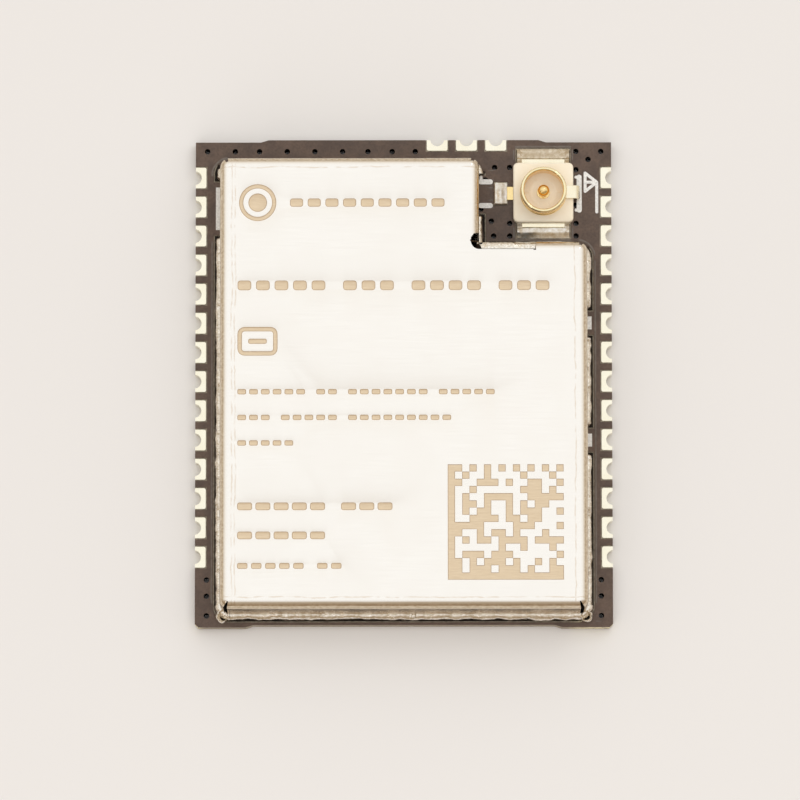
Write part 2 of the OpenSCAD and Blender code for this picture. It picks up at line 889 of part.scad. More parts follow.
// Outer contact: a base plate with two wide tabs, the barrel, and the strap opposite to
// the signal lead
module ground_contact_form() {
    plate_l = coax_body + 2 * ground_tab_out;
    slot_w = lead_w + 2 * plate_slot;
    difference() {
        translate([-ground_tab_w / 2, -plate_l / 2, 0])
            cube([ground_tab_w, plate_l, contact_t]);
        translate([0, 0, -cut])
            cylinder(r = plate_hole_r, h = contact_t + 2 * cut);
        translate([-ground_tab_w, -slot_w / 2, -cut])
            cube([ground_tab_w, slot_w, contact_t + 2 * cut]);
    }
    rotate_extrude()
        barrel_section();
    translate([0, lead_w / 2, 0])
        rotate([90, 0, 0])
            linear_extrude(lead_w)
                strap_section();
}

// Centre contact: a pin with a ball tip, and the lead that runs out under the body
module signal_contact_form() {
    tip_r = tip_d / 2;
    tip_z = coax_h - tip_drop - tip_r;
    lead_x1 = coax_body / 2 + lead_out;
    cylinder(r = neck_d / 2, h = tip_z);
    translate([0, 0, tip_z])
        sphere(r = tip_r);
    cylinder(r = neck_d / 2 + collar_w, h = contact_t);
    translate([-lead_x1, -lead_w / 2, 0])
        cube([lead_x1, lead_w, lead_t]);
}

module coax_insulator() {
    side = coax_body - 2 * coax_corner_r;
    color("#efe0c3")
        translate([coax_x, coax_y, seat_z])
            difference() {
                linear_extrude(coax_body_h) {
                    square([side, coax_body], center = true);
                    square([coax_body, side], center = true);
                    for (x = [-1, 1], y = [-1, 1])
                        translate([x * side / 2, y * side / 2])
                            circle(r = coax_corner_r);
                }
                ground_contact_form();
                signal_contact_form();
            }
}

module coax_ground_contact() {
    color("#efc060")
        translate([coax_x, coax_y, seat_z])
            ground_contact_form();
}

module coax_signal_contact() {
    color("#efc060")
        translate([coax_x, coax_y, seat_z])
            signal_contact_form();
}

// Solder on a wide ground tab: a film under it and a bank in front of it
module ground_tab_solder() {
    film_t = seat_z - pad_z1;
    film_l = ground_tab_out + coax_pad_in;
    bank_l = coax_pad_out - ground_tab_out;
    color("#d8d4cc")
        for (side = [0, 180])
            translate([coax_x, coax_y, pad_z1])
                rotate(side)
                    translate([-ground_pad_w / 2, coax_body / 2 - coax_pad_in, 0]) {
                        cube([ground_pad_w, film_l + bank_l, film_t]);
                        translate([0, film_l, film_t])
                            cube([ground_pad_w, bank_l - bank_r, bank_r]);
                        translate([0, film_l + bank_l - bank_r, film_t])
                            intersection() {
                                rotate([0, 90, 0])
                                    cylinder(r = bank_r, h = ground_pad_w);
                                cube([ground_pad_w, bank_r, bank_r]);
                            }
                    }
}

// Solder on the signal lead: a film under it and a lump over its end
module signal_lead_solder() {
    lead_end = coax_x - coax_body / 2 - lead_out;
    lump_l = lead_end + lump_over - signal_pad_x0;
    color("#d8d4cc")
        difference() {
            translate([signal_pad_x0, coax_y - signal_pad_w / 2, pad_z1]) {
                cube([signal_pad_l, signal_pad_w, seat_z - pad_z1]);
                cube([lump_l, signal_pad_w, seat_z - pad_z1 + lead_t + lump_h]);
            }
            translate([coax_x, coax_y, seat_z])
                signal_contact_form();
        }
}

// Parts under the can

// Rows of parts, one behind the other from the can's front wall: the crystal, capacitors,
// the system chip and more capacitors. The flash memory stands on the left, the power
// inductors on the right, and the system chip midway between them.
crystal_y = can_y0 + sheet_t + crystal_gap + crystal_w / 2;
front_caps_y = crystal_y + crystal_w / 2 + part_gap + chip_l / 2;
soc_y = front_caps_y + chip_l / 2 + part_gap + soc_w / 2;
rear_caps_y = soc_y + soc_w / 2 + part_gap + chip_l / 2;
flash_x = -can_x + sheet_t + flash_gap + flash_w / 2;
coil_x = can_x - sheet_t - coil_gap - inductor_w / 2;
soc_x = (flash_x + flash_w / 2 + coil_x - inductor_w / 2) / 2;
soc_at = [soc_x, soc_y];
flash_at = [flash_x, soc_y];
crystal_at = [soc_x, crystal_y];
load_cap_x = crystal_l / 2 + part_gap + chip_w / 2;

// Spots of the small parts, as [x, y, turned to lie along Y]
cap_spots = concat(
    [for (i = [-1.5:1.5], y = [front_caps_y, rear_caps_y]) [soc_x + i * cap_pitch, y, true]],
    [for (side = [-1, 1]) [soc_x + side * load_cap_x, crystal_y, true]],
    [for (i = [-0.5, 0.5]) [flash_x + i * cap_pitch, front_caps_y, true]]
);
resistor_spots = [for (i = [-1.5:1.5]) [flash_x + i * resistor_pitch, rear_caps_y, true]];
coil_spots = [for (i = [-0.5, 0.5]) [coil_x, soc_y + i * coil_pitch, true]];
match_spot = [trace_x0 - chip_l / 2, coax_y, false];

// Two lands of a chip part, as [x, y, size along X, size along Y]
function chip_lands(spot, l, w, end) = [
    for (side = [-1, 1])
        spot[2]
            ? [spot[0], spot[1] + side * (l - end) / 2, w, end]
            : [spot[0] + side * (l - end) / 2, spot[1], end, w]
];

// Lands along the four sides of a square package
function package_lands(at, w, n, pitch, size) = [
    for (i = [0:n - 1], side = [-1, 1], turned = [0, 1])
        let (along = (i - (n - 1) / 2) * pitch, out = side * (w - size) / 2)
            turned == 1
                ? [at[0] + along, at[1] + out, pitch / 2, size]
                : [at[0] + out, at[1] + along, size, pitch / 2]
];

// Land under the middle of a package
function middle_land(at, w, l) = [at[0], at[1], w - 2 * centre_in, l - 2 * centre_in];

soc_side_lands = package_lands(soc_at, soc_w, soc_leads_n, soc_pitch, package_lead);
flash_side_lands = [
    for (i = [0:flash_leads_n - 1], side = [-1, 1])
        [
            flash_at[0] + (i - (flash_leads_n - 1) / 2) * flash_pitch,
            flash_at[1] + side * (flash_l - package_lead) / 2,
            flash_pitch / 2,
            package_lead
        ]
];
crystal_lands = [
    for (x = [-1, 1], y = [-1, 1])
        [
            crystal_at[0] + x * (crystal_l - crystal_land_l) / 2,
            crystal_at[1] + y * (crystal_w - crystal_land_w) / 2,
            crystal_land_l,
            crystal_land_w
        ]
];
cap_lands = [for (s = cap_spots, land = chip_lands(s, chip_l, chip_w, chip_end)) land];
resistor_lands = [for (s = resistor_spots, land = chip_lands(s, chip_l, chip_w, chip_end)) land];
coil_lands = [for (s = coil_spots, land = chip_lands(s, inductor_l, inductor_w, coil_end)) land];
match_lands = chip_lands(match_spot, chip_l, chip_w, chip_end);
lands = concat(
    soc_side_lands, [middle_land(soc_at, soc_w, soc_w)],
    flash_side_lands, [middle_land(flash_at, flash_w, flash_l)],
    crystal_lands, cap_lands, resistor_lands, coil_lands, match_lands
);

module land_plan(land, gap) {
    translate([land[0], land[1]])
        square([land[2] + 2 * gap, land[3] + 2 * gap], center = true);
}

// A block on a land, from one height to another
module land_block(land, z0, z1) {
    translate([0, 0, z0])
        linear_extrude(z1 - z0)
            land_plan(land, 0);
}

module part_lands() {
    color("#f3d98f")
        for (land = lands)
            land_block(land, core_z1, pad_z1);
}

module part_solder() {
    color("#d8d4cc")
        for (land = lands)
            land_block(land, pad_z1, seat_z);
}

// A moulded package with a dimple at its first lead
module package_form(at, w, l, h) {
    dimple_r = 0.25;
    dimple_in = 0.7;
    dimple_d = 0.05;
    translate([at[0], at[1], seat_z])
        difference() {
            translate([-w / 2, -l / 2, 0])
                cube([w, l, h]);
            translate([-w / 2 + dimple_in, l / 2 - dimple_in, h - dimple_d])
                cylinder(r = dimple_r, h = dimple_d + cut);
        }
}

module lead_tips(land_list) {
    for (land = land_list)
        land_block(land, seat_z, seat_z + package_lead_t);
}

module system_chip() {
    color("#2b2b2d")
        difference() {
            package_form(soc_at, soc_w, soc_w, soc_h);
            lead_tips(soc_side_lands);
        }
}

module system_chip_leads() {
    color("#cfcfcf")
        lead_tips(soc_side_lands);
}

module flash_memory() {
    color("#2b2b2d")
        difference() {
            package_form(flash_at, flash_w, flash_l, flash_h);
            lead_tips(flash_side_lands);
        }
}

module flash_leads() {
    color("#cfcfcf")
        lead_tips(flash_side_lands);
}

// Ceramic base of the crystal, up to the seam of its lid
module crystal_base() {
    color("#8f8a7e")
        translate([crystal_at[0] - crystal_l / 2, crystal_at[1] - crystal_w / 2, seat_z])
            cube([crystal_l, crystal_w, crystal_h - crystal_lid_t]);
}

module crystal_lid() {
    color("#d6cfae")
        translate([crystal_at[0], crystal_at[1], seat_z + crystal_h - crystal_lid_t])
            linear_extrude(crystal_lid_t)
                square(
                    [crystal_l - 2 * crystal_ledge, crystal_w - 2 * crystal_ledge],
                    center = true
                );
}

// A chip part between its two ends, or its ends alone
module chip_part(spot, l, w, h, end, ends) {
    translate([spot[0], spot[1], seat_z])
        rotate(spot[2] ? 90 : 0)
            if (ends) {
                for (side = [-1, 1])
                    translate([side * (l - end) / 2 - end / 2, -w / 2, 0])
                        cube([end, w, h]);
            } else {
                skin = 0.02;
                translate([-l / 2 + end, -w / 2 + skin, skin])
                    cube([l - 2 * end, w - 2 * skin, h - 2 * skin]);
            }
}

module capacitors() {
    color("#b08a5e")
        for (s = cap_spots)
            chip_part(s, chip_l, chip_w, cap_h, chip_end, false);
}

module capacitor_ends() {
    color("#d0d0cc")
        for (s = cap_spots)
            chip_part(s, chip_l, chip_w, cap_h, chip_end, true);
}

module resistors() {
    color("#202022")
        for (s = resistor_spots)
            chip_part(s, chip_l, chip_w, resistor_h, chip_end, false);
}

module resistor_ends() {
    color("#d0d0cc")
        for (s = resistor_spots)
            chip_part(s, chip_l, chip_w, resistor_h, chip_end, true);
}

module inductor_set(ends) {
    for (s = coil_spots)
        chip_part(s, inductor_l, inductor_w, inductor_h, coil_end, ends);
    chip_part(match_spot, chip_l, chip_w, cap_h, chip_end, ends);
}

module inductors() {
    color("#4a4a4e")
        inductor_set(false);
}

module inductor_ends() {
    color("#d0d0cc")
        inductor_set(true);
}

board_laminate();
mask_top();
mask_underside();
edge_pads_left();
edge_pads_right();
edge_pads_rear();
via_barrels();
thermal_pads();
ground_track();
receptacle_pads();
rf_trace();
printed_marks();
shield_can();
can_solder();
coax_insulator();
coax_ground_contact();
coax_signal_contact();
ground_tab_solder();
signal_lead_solder();
part_lands();
part_solder();
system_chip();
system_chip_leads();
flash_memory();
flash_leads();
crystal_base();
crystal_lid();
capacitors();
capacitor_ends();
resistors();
resistor_ends();
inductors();
inductor_ends();
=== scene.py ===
import bpy
import bmesh
import math
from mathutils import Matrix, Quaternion, Vector
from mathutils.geometry import delaunay_2d_cdt
from mathutils.noise import noise as perlin


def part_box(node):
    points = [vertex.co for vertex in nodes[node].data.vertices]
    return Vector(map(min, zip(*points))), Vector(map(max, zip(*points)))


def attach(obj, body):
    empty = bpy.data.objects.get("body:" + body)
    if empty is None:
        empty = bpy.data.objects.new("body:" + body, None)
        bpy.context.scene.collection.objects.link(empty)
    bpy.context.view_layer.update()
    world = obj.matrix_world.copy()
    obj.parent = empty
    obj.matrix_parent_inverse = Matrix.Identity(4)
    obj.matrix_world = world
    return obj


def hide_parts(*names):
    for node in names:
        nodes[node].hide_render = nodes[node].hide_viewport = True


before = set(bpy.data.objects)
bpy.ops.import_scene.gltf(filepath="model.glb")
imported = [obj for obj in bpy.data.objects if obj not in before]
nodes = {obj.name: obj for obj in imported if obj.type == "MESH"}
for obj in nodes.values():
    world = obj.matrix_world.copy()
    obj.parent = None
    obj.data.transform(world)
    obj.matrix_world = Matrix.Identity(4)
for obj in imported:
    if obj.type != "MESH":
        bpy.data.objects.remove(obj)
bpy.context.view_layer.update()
scene = bpy.context.scene
MM = 0.001

# ---- camera
# Looks almost straight down, tilted a little towards the front edge.
TILT = math.radians(6.95)
ROLL = math.radians(-0.05)
DISTANCE = 320 * MM
AIM = Vector((-0.160, -0.750, 0.8)) * MM

cam_data = bpy.data.cameras.new("camera")
cam_data.sensor_width = 36
cam_data.lens = 333.5
cam_data.clip_start = 0.01
cam_data.clip_end = 20
camera = bpy.data.objects.new("camera", cam_data)
scene.collection.objects.link(camera)
away = Vector((0, -math.sin(TILT), math.cos(TILT)))
camera.location = AIM + away * DISTANCE
camera.rotation_euler = ((-away).to_track_quat("-Z", "Y") @ Quaternion((0, 0, 1), ROLL)).to_euler()
scene.camera = camera
scene.view_settings.view_transform = "Standard"


# ---- places, in millimetres
# X runs to the right in the photograph, Y to its top edge, which is the rear, and Z up.
def box_mm(name):
    lo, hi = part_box(name)
    return [c / MM for c in lo], [c / MM for c in hi]


can_lo, can_hi = box_mm("shield_can")
body_lo, body_hi = box_mm("coax_insulator")
contact_hi = box_mm("coax_ground_contact")[1]
BOARD_TOP = box_mm("mask_top")[1][2]
PAD_TOP = box_mm("ground_track")[1][2]

# Shield can: its outer sides, foot and top, the sheet's thickness and the folds' outer radius
CX0, CY0, CX1, CY1 = can_lo[0], can_lo[1], can_hi[0], can_hi[1]
SEAT, CAN_TOP = can_lo[2], can_hi[2]
SHEET, BEND = 0.2, 0.4
# Edges of its flat top, inside the folds
IX0, IY0, IX1, IY1 = CX0 + BEND, CY0 + BEND, CX1 - BEND, CY1 - BEND

# Receptacle: its middle, the side of its square body and the body's top
AX, AY = (body_lo[0] + body_hi[0]) / 2, (body_lo[1] + body_hi[1]) / 2
BODY = body_hi[0] - body_lo[0]
BODY_TOP = body_hi[2]

# Bay that the can leaves for the receptacle: its two walls, where the fold along the front
# wall begins, and the relief hole in its inner corner
BAY_X = body_lo[0] - 1.5
BAY_Y = body_lo[1] - 1.1
BAY_WALL_X = CX1 - 2.1
RELIEF = 0.36

# Gaps between the beads of solder, where the ground track stops
LEFT_GAP = (CY1 - 3.1, CY1 - 0.7)
RIGHT_GAPS = [(middle - 0.55, middle + 0.55) for middle in (BAY_Y - 3.25, BAY_Y - 8.35)]


# ---- node helpers
def node(nt, kind):
    return nt.nodes.new("ShaderNode" + kind)


def new_material(name):
    m = bpy.data.materials.new(name)
    m.use_nodes = True
    nt = m.node_tree
    nt.nodes.clear()
    out = node(nt, "OutputMaterial")
    bsdf = node(nt, "BsdfPrincipled")
    nt.links.new(bsdf.outputs[0], out.inputs["Surface"])
    return m, nt, bsdf


def feed(nt, socket, value):
    """Sets a socket to a number or a colour, or links it to an output."""
    if isinstance(value, (int, float)):
        socket.default_value = value
    elif isinstance(value, tuple):
        socket.default_value = (*value, 1)
    else:
        nt.links.new(value, socket)


def look(nt, b, colour, roughness, metallic=0.0, specular=0.5):
    """Sets or links a material's colour and finish."""
    feed(nt, b.inputs["Base Color"], colour)
    feed(nt, b.inputs["Roughness"], roughness)
    b.inputs["Metallic"].default_value = metallic
    b.inputs["Specular IOR Level"].default_value = specular


def coords(nt, scale=(1, 1, 1)):
    """Object coordinates in millimetres, stretched by scale."""
    tc = node(nt, "TexCoord")
    mp = node(nt, "Mapping")
    mp.inputs["Scale"].default_value = [s / MM for s in scale]
    nt.links.new(tc.outputs["Object"], mp.inputs["Vector"])
    return mp.outputs[0]


def separate(nt, vector):
    n = node(nt, "SeparateXYZ")
    nt.links.new(vector, n.inputs[0])
    return n.outputs


def noise(nt, vector, scale, detail=3.0, rough=0.5, distortion=0.0):
    n = node(nt, "TexNoise")
    n.inputs["Scale"].default_value = scale
    n.inputs["Detail"].default_value = detail
    n.inputs["Roughness"].default_value = rough
    n.inputs["Distortion"].default_value = distortion
    nt.links.new(vector, n.inputs["Vector"])
    return n.outputs["Fac"]


def ramp(nt, value, stops):
    n = node(nt, "ValToRGB")
    elements = n.color_ramp.elements
    while len(elements) < len(stops):
        elements.new(0.5)
    for element, (position, colour) in zip(elements, stops):
        element.position = position
        element.color = (*colour, 1)
    nt.links.new(value, n.inputs["Fac"])
    return n.outputs["Color"]


def remap(nt, value, lo, hi, a=0.0, b=1.0):
    """Maps lo to hi onto a to b, and holds the ends."""
    n = node(nt, "MapRange")
    for name, number in (("From Min", lo), ("From Max", hi), ("To Min", a), ("To Max", b)):
        n.inputs[name].default_value = number
    nt.links.new(value, n.inputs["Value"])
    return n.outputs["Result"]


def math_node(nt, operation, *values):
    n = node(nt, "Math")
    n.operation = operation
    for socket, value in zip(n.inputs, values):
        feed(nt, socket, value)
    return n.outputs[0]


def mix(nt, fac, a, b, numbers=False):
    """Mixes two colours, or two numbers."""
    n = node(nt, "Mix")
    n.data_type = "FLOAT" if numbers else "RGBA"
    first = 2 if numbers else 6
    for k, value in ((0, fac), (first, a), (first + 1, b)):
        feed(nt, n.inputs[k], value)
    return n.outputs[0 if numbers else 2]


def bump(nt, bsdf, height, strength, distance_mm, normal=None):
    n = node(nt, "Bump")
    feed(nt, n.inputs["Strength"], strength)
    n.inputs["Distance"].default_value = distance_mm * MM
    nt.links.new(height, n.inputs["Height"])
    if normal is not None:
        nt.links.new(normal, n.inputs["Normal"])
    nt.links.new(n.outputs[0], bsdf.inputs["Normal"])
    return n.outputs[0]


def level(nt, lo, hi):
    """0 on upright faces and 1 on level ones, from the upward part of the normal."""
    geometry = node(nt, "NewGeometry")
    return remap(nt, separate(nt, geometry.outputs["Normal"])["Z"], lo, hi)


def shaded(colour, factors):
    return tuple(c * f for c, f in zip(colour, factors))


# ---- materials
def mask_material():
    m, nt, b = new_material("solder_mask")
    p = coords(nt)
    cloud = noise(nt, p, 1.3, 5, 0.65)
    fine = noise(nt, p, 11, 4, 0.65)
    weave = noise(nt, p, 5, 2, 0.5)
    tone = mix(nt, remap(nt, cloud, 0.38, 0.62), (0.082, 0.053, 0.040), (0.122, 0.079, 0.057))
    tone = mix(nt, remap(nt, fine, 0.45, 0.62, 0, 0.40), tone, (0.056, 0.036, 0.027))
    look(nt, b, tone, remap(nt, fine, 0.3, 0.7, 0.36, 0.52))
    bump(nt, b, math_node(nt, "ADD", math_node(nt, "MULTIPLY", fine, 0.35), weave), 0.35, 0.012)
    return m


def gold_material(name="pad_gold", tint=(1.0, 0.965, 0.81), rough=0.17, wall=None):
    """Gold plating. Where wall is given, upright faces take that deeper colour as a painted reflection."""
    m, nt, b = new_material(name)
    p = coords(nt)
    cloud = noise(nt, p, 1.6, 3, 0.6)
    fine = noise(nt, p, 26, 3, 0.65)
    colour = mix(nt, remap(nt, cloud, 0.35, 0.65), tint, shaded(tint, (0.97, 0.955, 0.92)))
    if wall:
        # Painted reflection: upright faces take the deeper wall colour
        colour = mix(nt, level(nt, 0.25, 0.75), wall, colour)
    look(nt, b, colour, remap(nt, fine, 0.3, 0.7, rough - 0.05, rough + 0.09), 1)
    bump(nt, b, fine, 0.18, 0.006)
    return m


def laminate_material():
    """Cut glass fibre, with bare cream chips at the board's front corners."""
    m, nt, b = new_material("laminate")
    fibre = noise(nt, coords(nt, (1, 1, 3.5)), 5, 4, 0.7)
    fine = noise(nt, coords(nt), 22, 3, 0.6)
    colour = ramp(nt, fibre, [
        (0.30, (0.17, 0.14, 0.105)),
        (0.50, (0.33, 0.285, 0.22)),
        (0.72, (0.50, 0.45, 0.35)),
    ])
    place = separate(nt, coords(nt))
    right = remap(nt, place["X"], 7.0, 7.6)
    left = remap(nt, place["X"], -8.6, -8.9)
    front = remap(nt, place["Y"], -10.2, -10.4)
    corners = math_node(nt, "MULTIPLY", math_node(nt, "MAXIMUM", right, left), front)
    patchy = remap(nt, noise(nt, coords(nt), 3.2, 3, 0.6), 0.36, 0.50)
    colour = mix(nt, math_node(nt, "MULTIPLY", corners, patchy), colour, (0.80, 0.74, 0.50))
    look(nt, b, colour, remap(nt, fine, 0.3, 0.7, 0.55, 0.8))
    bump(nt, b, math_node(nt, "ADD", fibre, fine), 0.5, 0.02)
    return m


def faint_tan_lines(nt):
    """Faint broken lines just inside the sheet's folds: 0 off them, up to 0.75 on."""
    place = separate(nt, coords(nt))
    wander = remap(nt, noise(nt, coords(nt), 0.8, 3, 0.6), 0.3, 0.7, -0.045, 0.045)
    broken = remap(nt, noise(nt, coords(nt), 2.6, 2, 0.5), 0.36, 0.60, 0.0, 0.75)
    lines = (("Y", CY0 + 0.55), ("Y", CY1 - 0.43), ("X", CX0 + 0.52), ("X", CX0 + 0.66), ("X", CX1 - 0.55))
    found = None
    for axis, at in lines:
        off = math_node(nt, "ADD", math_node(nt, "SUBTRACT", place[axis], at), wander)
        hit = remap(nt, math_node(nt, "ABSOLUTE", off), 0.015, 0.04, 1, 0)
        found = hit if found is None else math_node(nt, "MAXIMUM", found, hit)
    return math_node(nt, "MULTIPLY", found, broken)


def can_material():
    """Plated sheet: brushed and bright where it is level; on folds and walls a darker speckled brown, a
    painted reflection of the dim room.
    """
    m, nt, b = new_material("can_metal")
    brush = noise(nt, coords(nt, (0.35, 9, 9)), 1.6, 4, 0.6)
    cloud = noise(nt, coords(nt), 0.5, 3, 0.55)
    speck = noise(nt, coords(nt), 9, 4, 0.7)
    flat = level(nt, 0.72, 0.93)
    face = mix(nt, remap(nt, brush, 0.35, 0.65), (0.955, 0.928, 0.880), (0.985, 0.962, 0.918))
    face = mix(nt, remap(nt, cloud, 0.4, 0.6, 0.0, 0.35), face, (0.945, 0.912, 0.858))
    # Faint tan lines are mixed into the colour of the flat top
    face = mix(nt, faint_tan_lines(nt), face, (0.80, 0.70, 0.58))
    # Painted reflection: folds and walls take this darker speckled brown, mixed in by how level the face
    # is
    fold = mix(nt, remap(nt, speck, 0.38, 0.62), (0.52, 0.41, 0.28), (0.76, 0.67, 0.53))
    rough_face = remap(nt, brush, 0.3, 0.7, 0.17, 0.24)
    rough_fold = remap(nt, speck, 0.3, 0.7, 0.10, 0.22)
    look(nt, b, mix(nt, flat, fold, face), mix(nt, flat, rough_fold, rough_face, True), 1)
    brushed = bump(nt, b, brush, 0.25, 0.006)
    bump(nt, b, speck, remap(nt, flat, 0, 1, 0.35, 0.03), 0.01, brushed)
    return m


def etch_material():
    m, nt, b = new_material("etched_metal")
    brush = noise(nt, coords(nt, (0.6, 7, 7)), 3.2, 4, 0.7)
    cloud = noise(nt, coords(nt), 3.5, 3, 0.6)
    colour = mix(nt, remap(nt, brush, 0.33, 0.67), (0.70, 0.56, 0.39), (0.84, 0.71, 0.53))
    colour = mix(nt, remap(nt, cloud, 0.35, 0.65, 0, 0.4), colour, (0.76, 0.62, 0.44))
    look(nt, b, colour, remap(nt, brush, 0.3, 0.7, 0.32, 0.5), 0.75)
    bump(nt, b, brush, 0.35, 0.01)
    return m


def solder_material(name, tint, rough, grain, scale=11):
    m, nt, b = new_material(name)
    p = coords(nt)
    cell = noise(nt, p, scale, 4, 0.7, 0.4)
    broad = noise(nt, p, 3.2, 3, 0.6)
    dark = shaded(tint, (0.74, 0.68, 0.58))
    tone = mix(nt, remap(nt, cell, 0.36, 0.64), dark, tint)
    look(nt, b, tone, remap(nt, broad, 0.3, 0.7, rough - 0.05, rough + 0.12), 1)
    bump(nt, b, math_node(nt, "ADD", cell, broad), grain, 0.03)
    return m


def ink_material():
    m, nt, b = new_material("ink")
    cover = noise(nt, coords(nt), 12, 4, 0.65)
    tone = mix(nt, remap(nt, cover, 0.35, 0.6), (0.66, 0.67, 0.67), (0.88, 0.89, 0.89))
    look(nt, b, tone, 0.6)
    bump(nt, b, cover, 0.3, 0.01)
    return m


def insulator_material():
    m, nt, b = new_material("insulator")
    p = coords(nt)
    cloud = noise(nt, p, 1.4, 3, 0.6)
    fine = noise(nt, p, 24, 2, 0.5)
    tone = mix(nt, remap(nt, cloud, 0.35, 0.65), (0.96, 0.875, 0.71), (0.975, 0.91, 0.765))
    look(nt, b, tone, remap(nt, fine, 0.3, 0.7, 0.42, 0.56))
    bump(nt, b, fine, 0.15, 0.006)
    return m


def plain_material(name, low, high, rough, metallic=0.0, scale=6, specular=0.5):
    """Two close tones in soft clouds."""
    m, nt, b = new_material(name)
    cloud = noise(nt, coords(nt), scale, 3, 0.6)
    tone = mix(nt, remap(nt, cloud, 0.35, 0.65), low, high)
    look(nt, b, tone, remap(nt, cloud, 0.3, 0.7, rough - 0.06, rough + 0.08), metallic, specular)
    bump(nt, b, cloud, 0.2, 0.01)
    return m


MASK = mask_material()
# Painted highlight: a lighter tone for the raised edges of the mask
MASK_RIDGE_HIGHLIGHT = plain_material("mask_ridge_painted_highlight", (0.105, 0.085, 0.070), (0.155, 0.13, 0.112), 0.36)
LAMINATE = laminate_material()
INK = ink_material()
GOLD = gold_material()
# Painted shade: a darker gold for the rounded edges of the edge pads
PAD_RIM_SHADE = gold_material("pad_rim_painted_shade", (0.80, 0.66, 0.34), 0.3)
# The next three are almost black and without shine: painted shade inside the via holes, painted shadow on
# the ground track beside the can, and painted shade in the can's slits and the solder cups' holes
VIA = plain_material("via_painted_shade", (0.010, 0.008, 0.007), (0.022, 0.017, 0.014), 0.6, specular=0.12)
TRACK_SHADOW = plain_material("track_painted_shadow", (0.008, 0.006, 0.005), (0.020, 0.015, 0.011), 0.6, specular=0.12)
HOLE_SHADE = plain_material("painted_hole_shade", (0.006, 0.005, 0.004), (0.016, 0.013, 0.010), 0.5, specular=0.12)
CAN = can_material()
ETCH = etch_material()
# Painted shade: the etched marks' sloped edges, a darker brown than their floors
ETCH_EDGE_SHADE = plain_material("etched_edge_painted_shade", (0.46, 0.33, 0.20), (0.58, 0.44, 0.29), 0.45, 0.6, 9)
SOLDER = solder_material("solder", (0.99, 0.96, 0.91), 0.13, 0.45)
TAB_SOLDER = solder_material("tab_solder", (0.98, 0.96, 0.92), 0.40, 0.16, 5)
# Painted shade: a darker copy of the tab solder for the rear bank
TAB_SOLDER_REAR_SHADED = solder_material("tab_solder_rear_painted_shade", (0.74, 0.66, 0.54), 0.26, 0.18, 5)
INSULATOR = insulator_material()
# The barrel's upright faces get a deeper amber, a painted reflection of the facing gold walls
COAX_GOLD = gold_material("contact_gold", (1.0, 0.90, 0.60), 0.10, (1.0, 0.70, 0.30))
STRAP_GOLD = gold_material("strap_gold", (1.0, 0.94, 0.75), 0.20)
PIN_GOLD = gold_material("pin_gold", (1.0, 0.79, 0.40), 0.13)
PACKAGE = plain_material("package", (0.018, 0.018, 0.02), (0.035, 0.035, 0.038), 0.55)
TIN = plain_material("tin", (0.60, 0.60, 0.59), (0.72, 0.72, 0.70), 0.32, 1.0, 12)
CRYSTAL = plain_material("crystal_ceramic", (0.16, 0.15, 0.13), (0.22, 0.205, 0.18), 0.5)
LID = plain_material("crystal_lid", (0.62, 0.56, 0.40), (0.70, 0.64, 0.48), 0.28, 1.0)
CERAMIC = plain_material("capacitor_ceramic", (0.40, 0.27, 0.14), (0.48, 0.33, 0.18), 0.5)
GLAZE = plain_material("resistor_glaze", (0.012, 0.012, 0.014), (0.03, 0.03, 0.032), 0.25)
FERRITE = plain_material("ferrite", (0.06, 0.06, 0.065), (0.09, 0.09, 0.095), 0.6)

# What each CAD node is made of
for material, names in (
    (LAMINATE, "board_laminate"),
    (MASK, "mask_top mask_underside rf_trace"),
    (GOLD, "edge_pads_left edge_pads_right edge_pads_rear thermal_pads receptacle_pads part_lands"),
    # Via barrels and the ground track take near-black painted shade
    (VIA, "via_barrels"), (TRACK_SHADOW, "ground_track"), (INK, "printed_marks"), (CAN, "shield_can"),
    (SOLDER, "can_solder ground_tab_solder signal_lead_solder part_solder"),
    (INSULATOR, "coax_insulator"),
    (COAX_GOLD, "coax_ground_contact coax_signal_contact"),
    (PACKAGE, "system_chip flash_memory"),
    (TIN, "system_chip_leads flash_leads capacitor_ends resistor_ends inductor_ends"),
    (CRYSTAL, "crystal_base"), (LID, "crystal_lid"), (CERAMIC, "capacitors"),
    (GLAZE, "resistors"), (FERRITE, "inductors"),
):
    for name in names.split():
        nodes[name].data.materials.clear()
        nodes[name].data.materials.append(material)


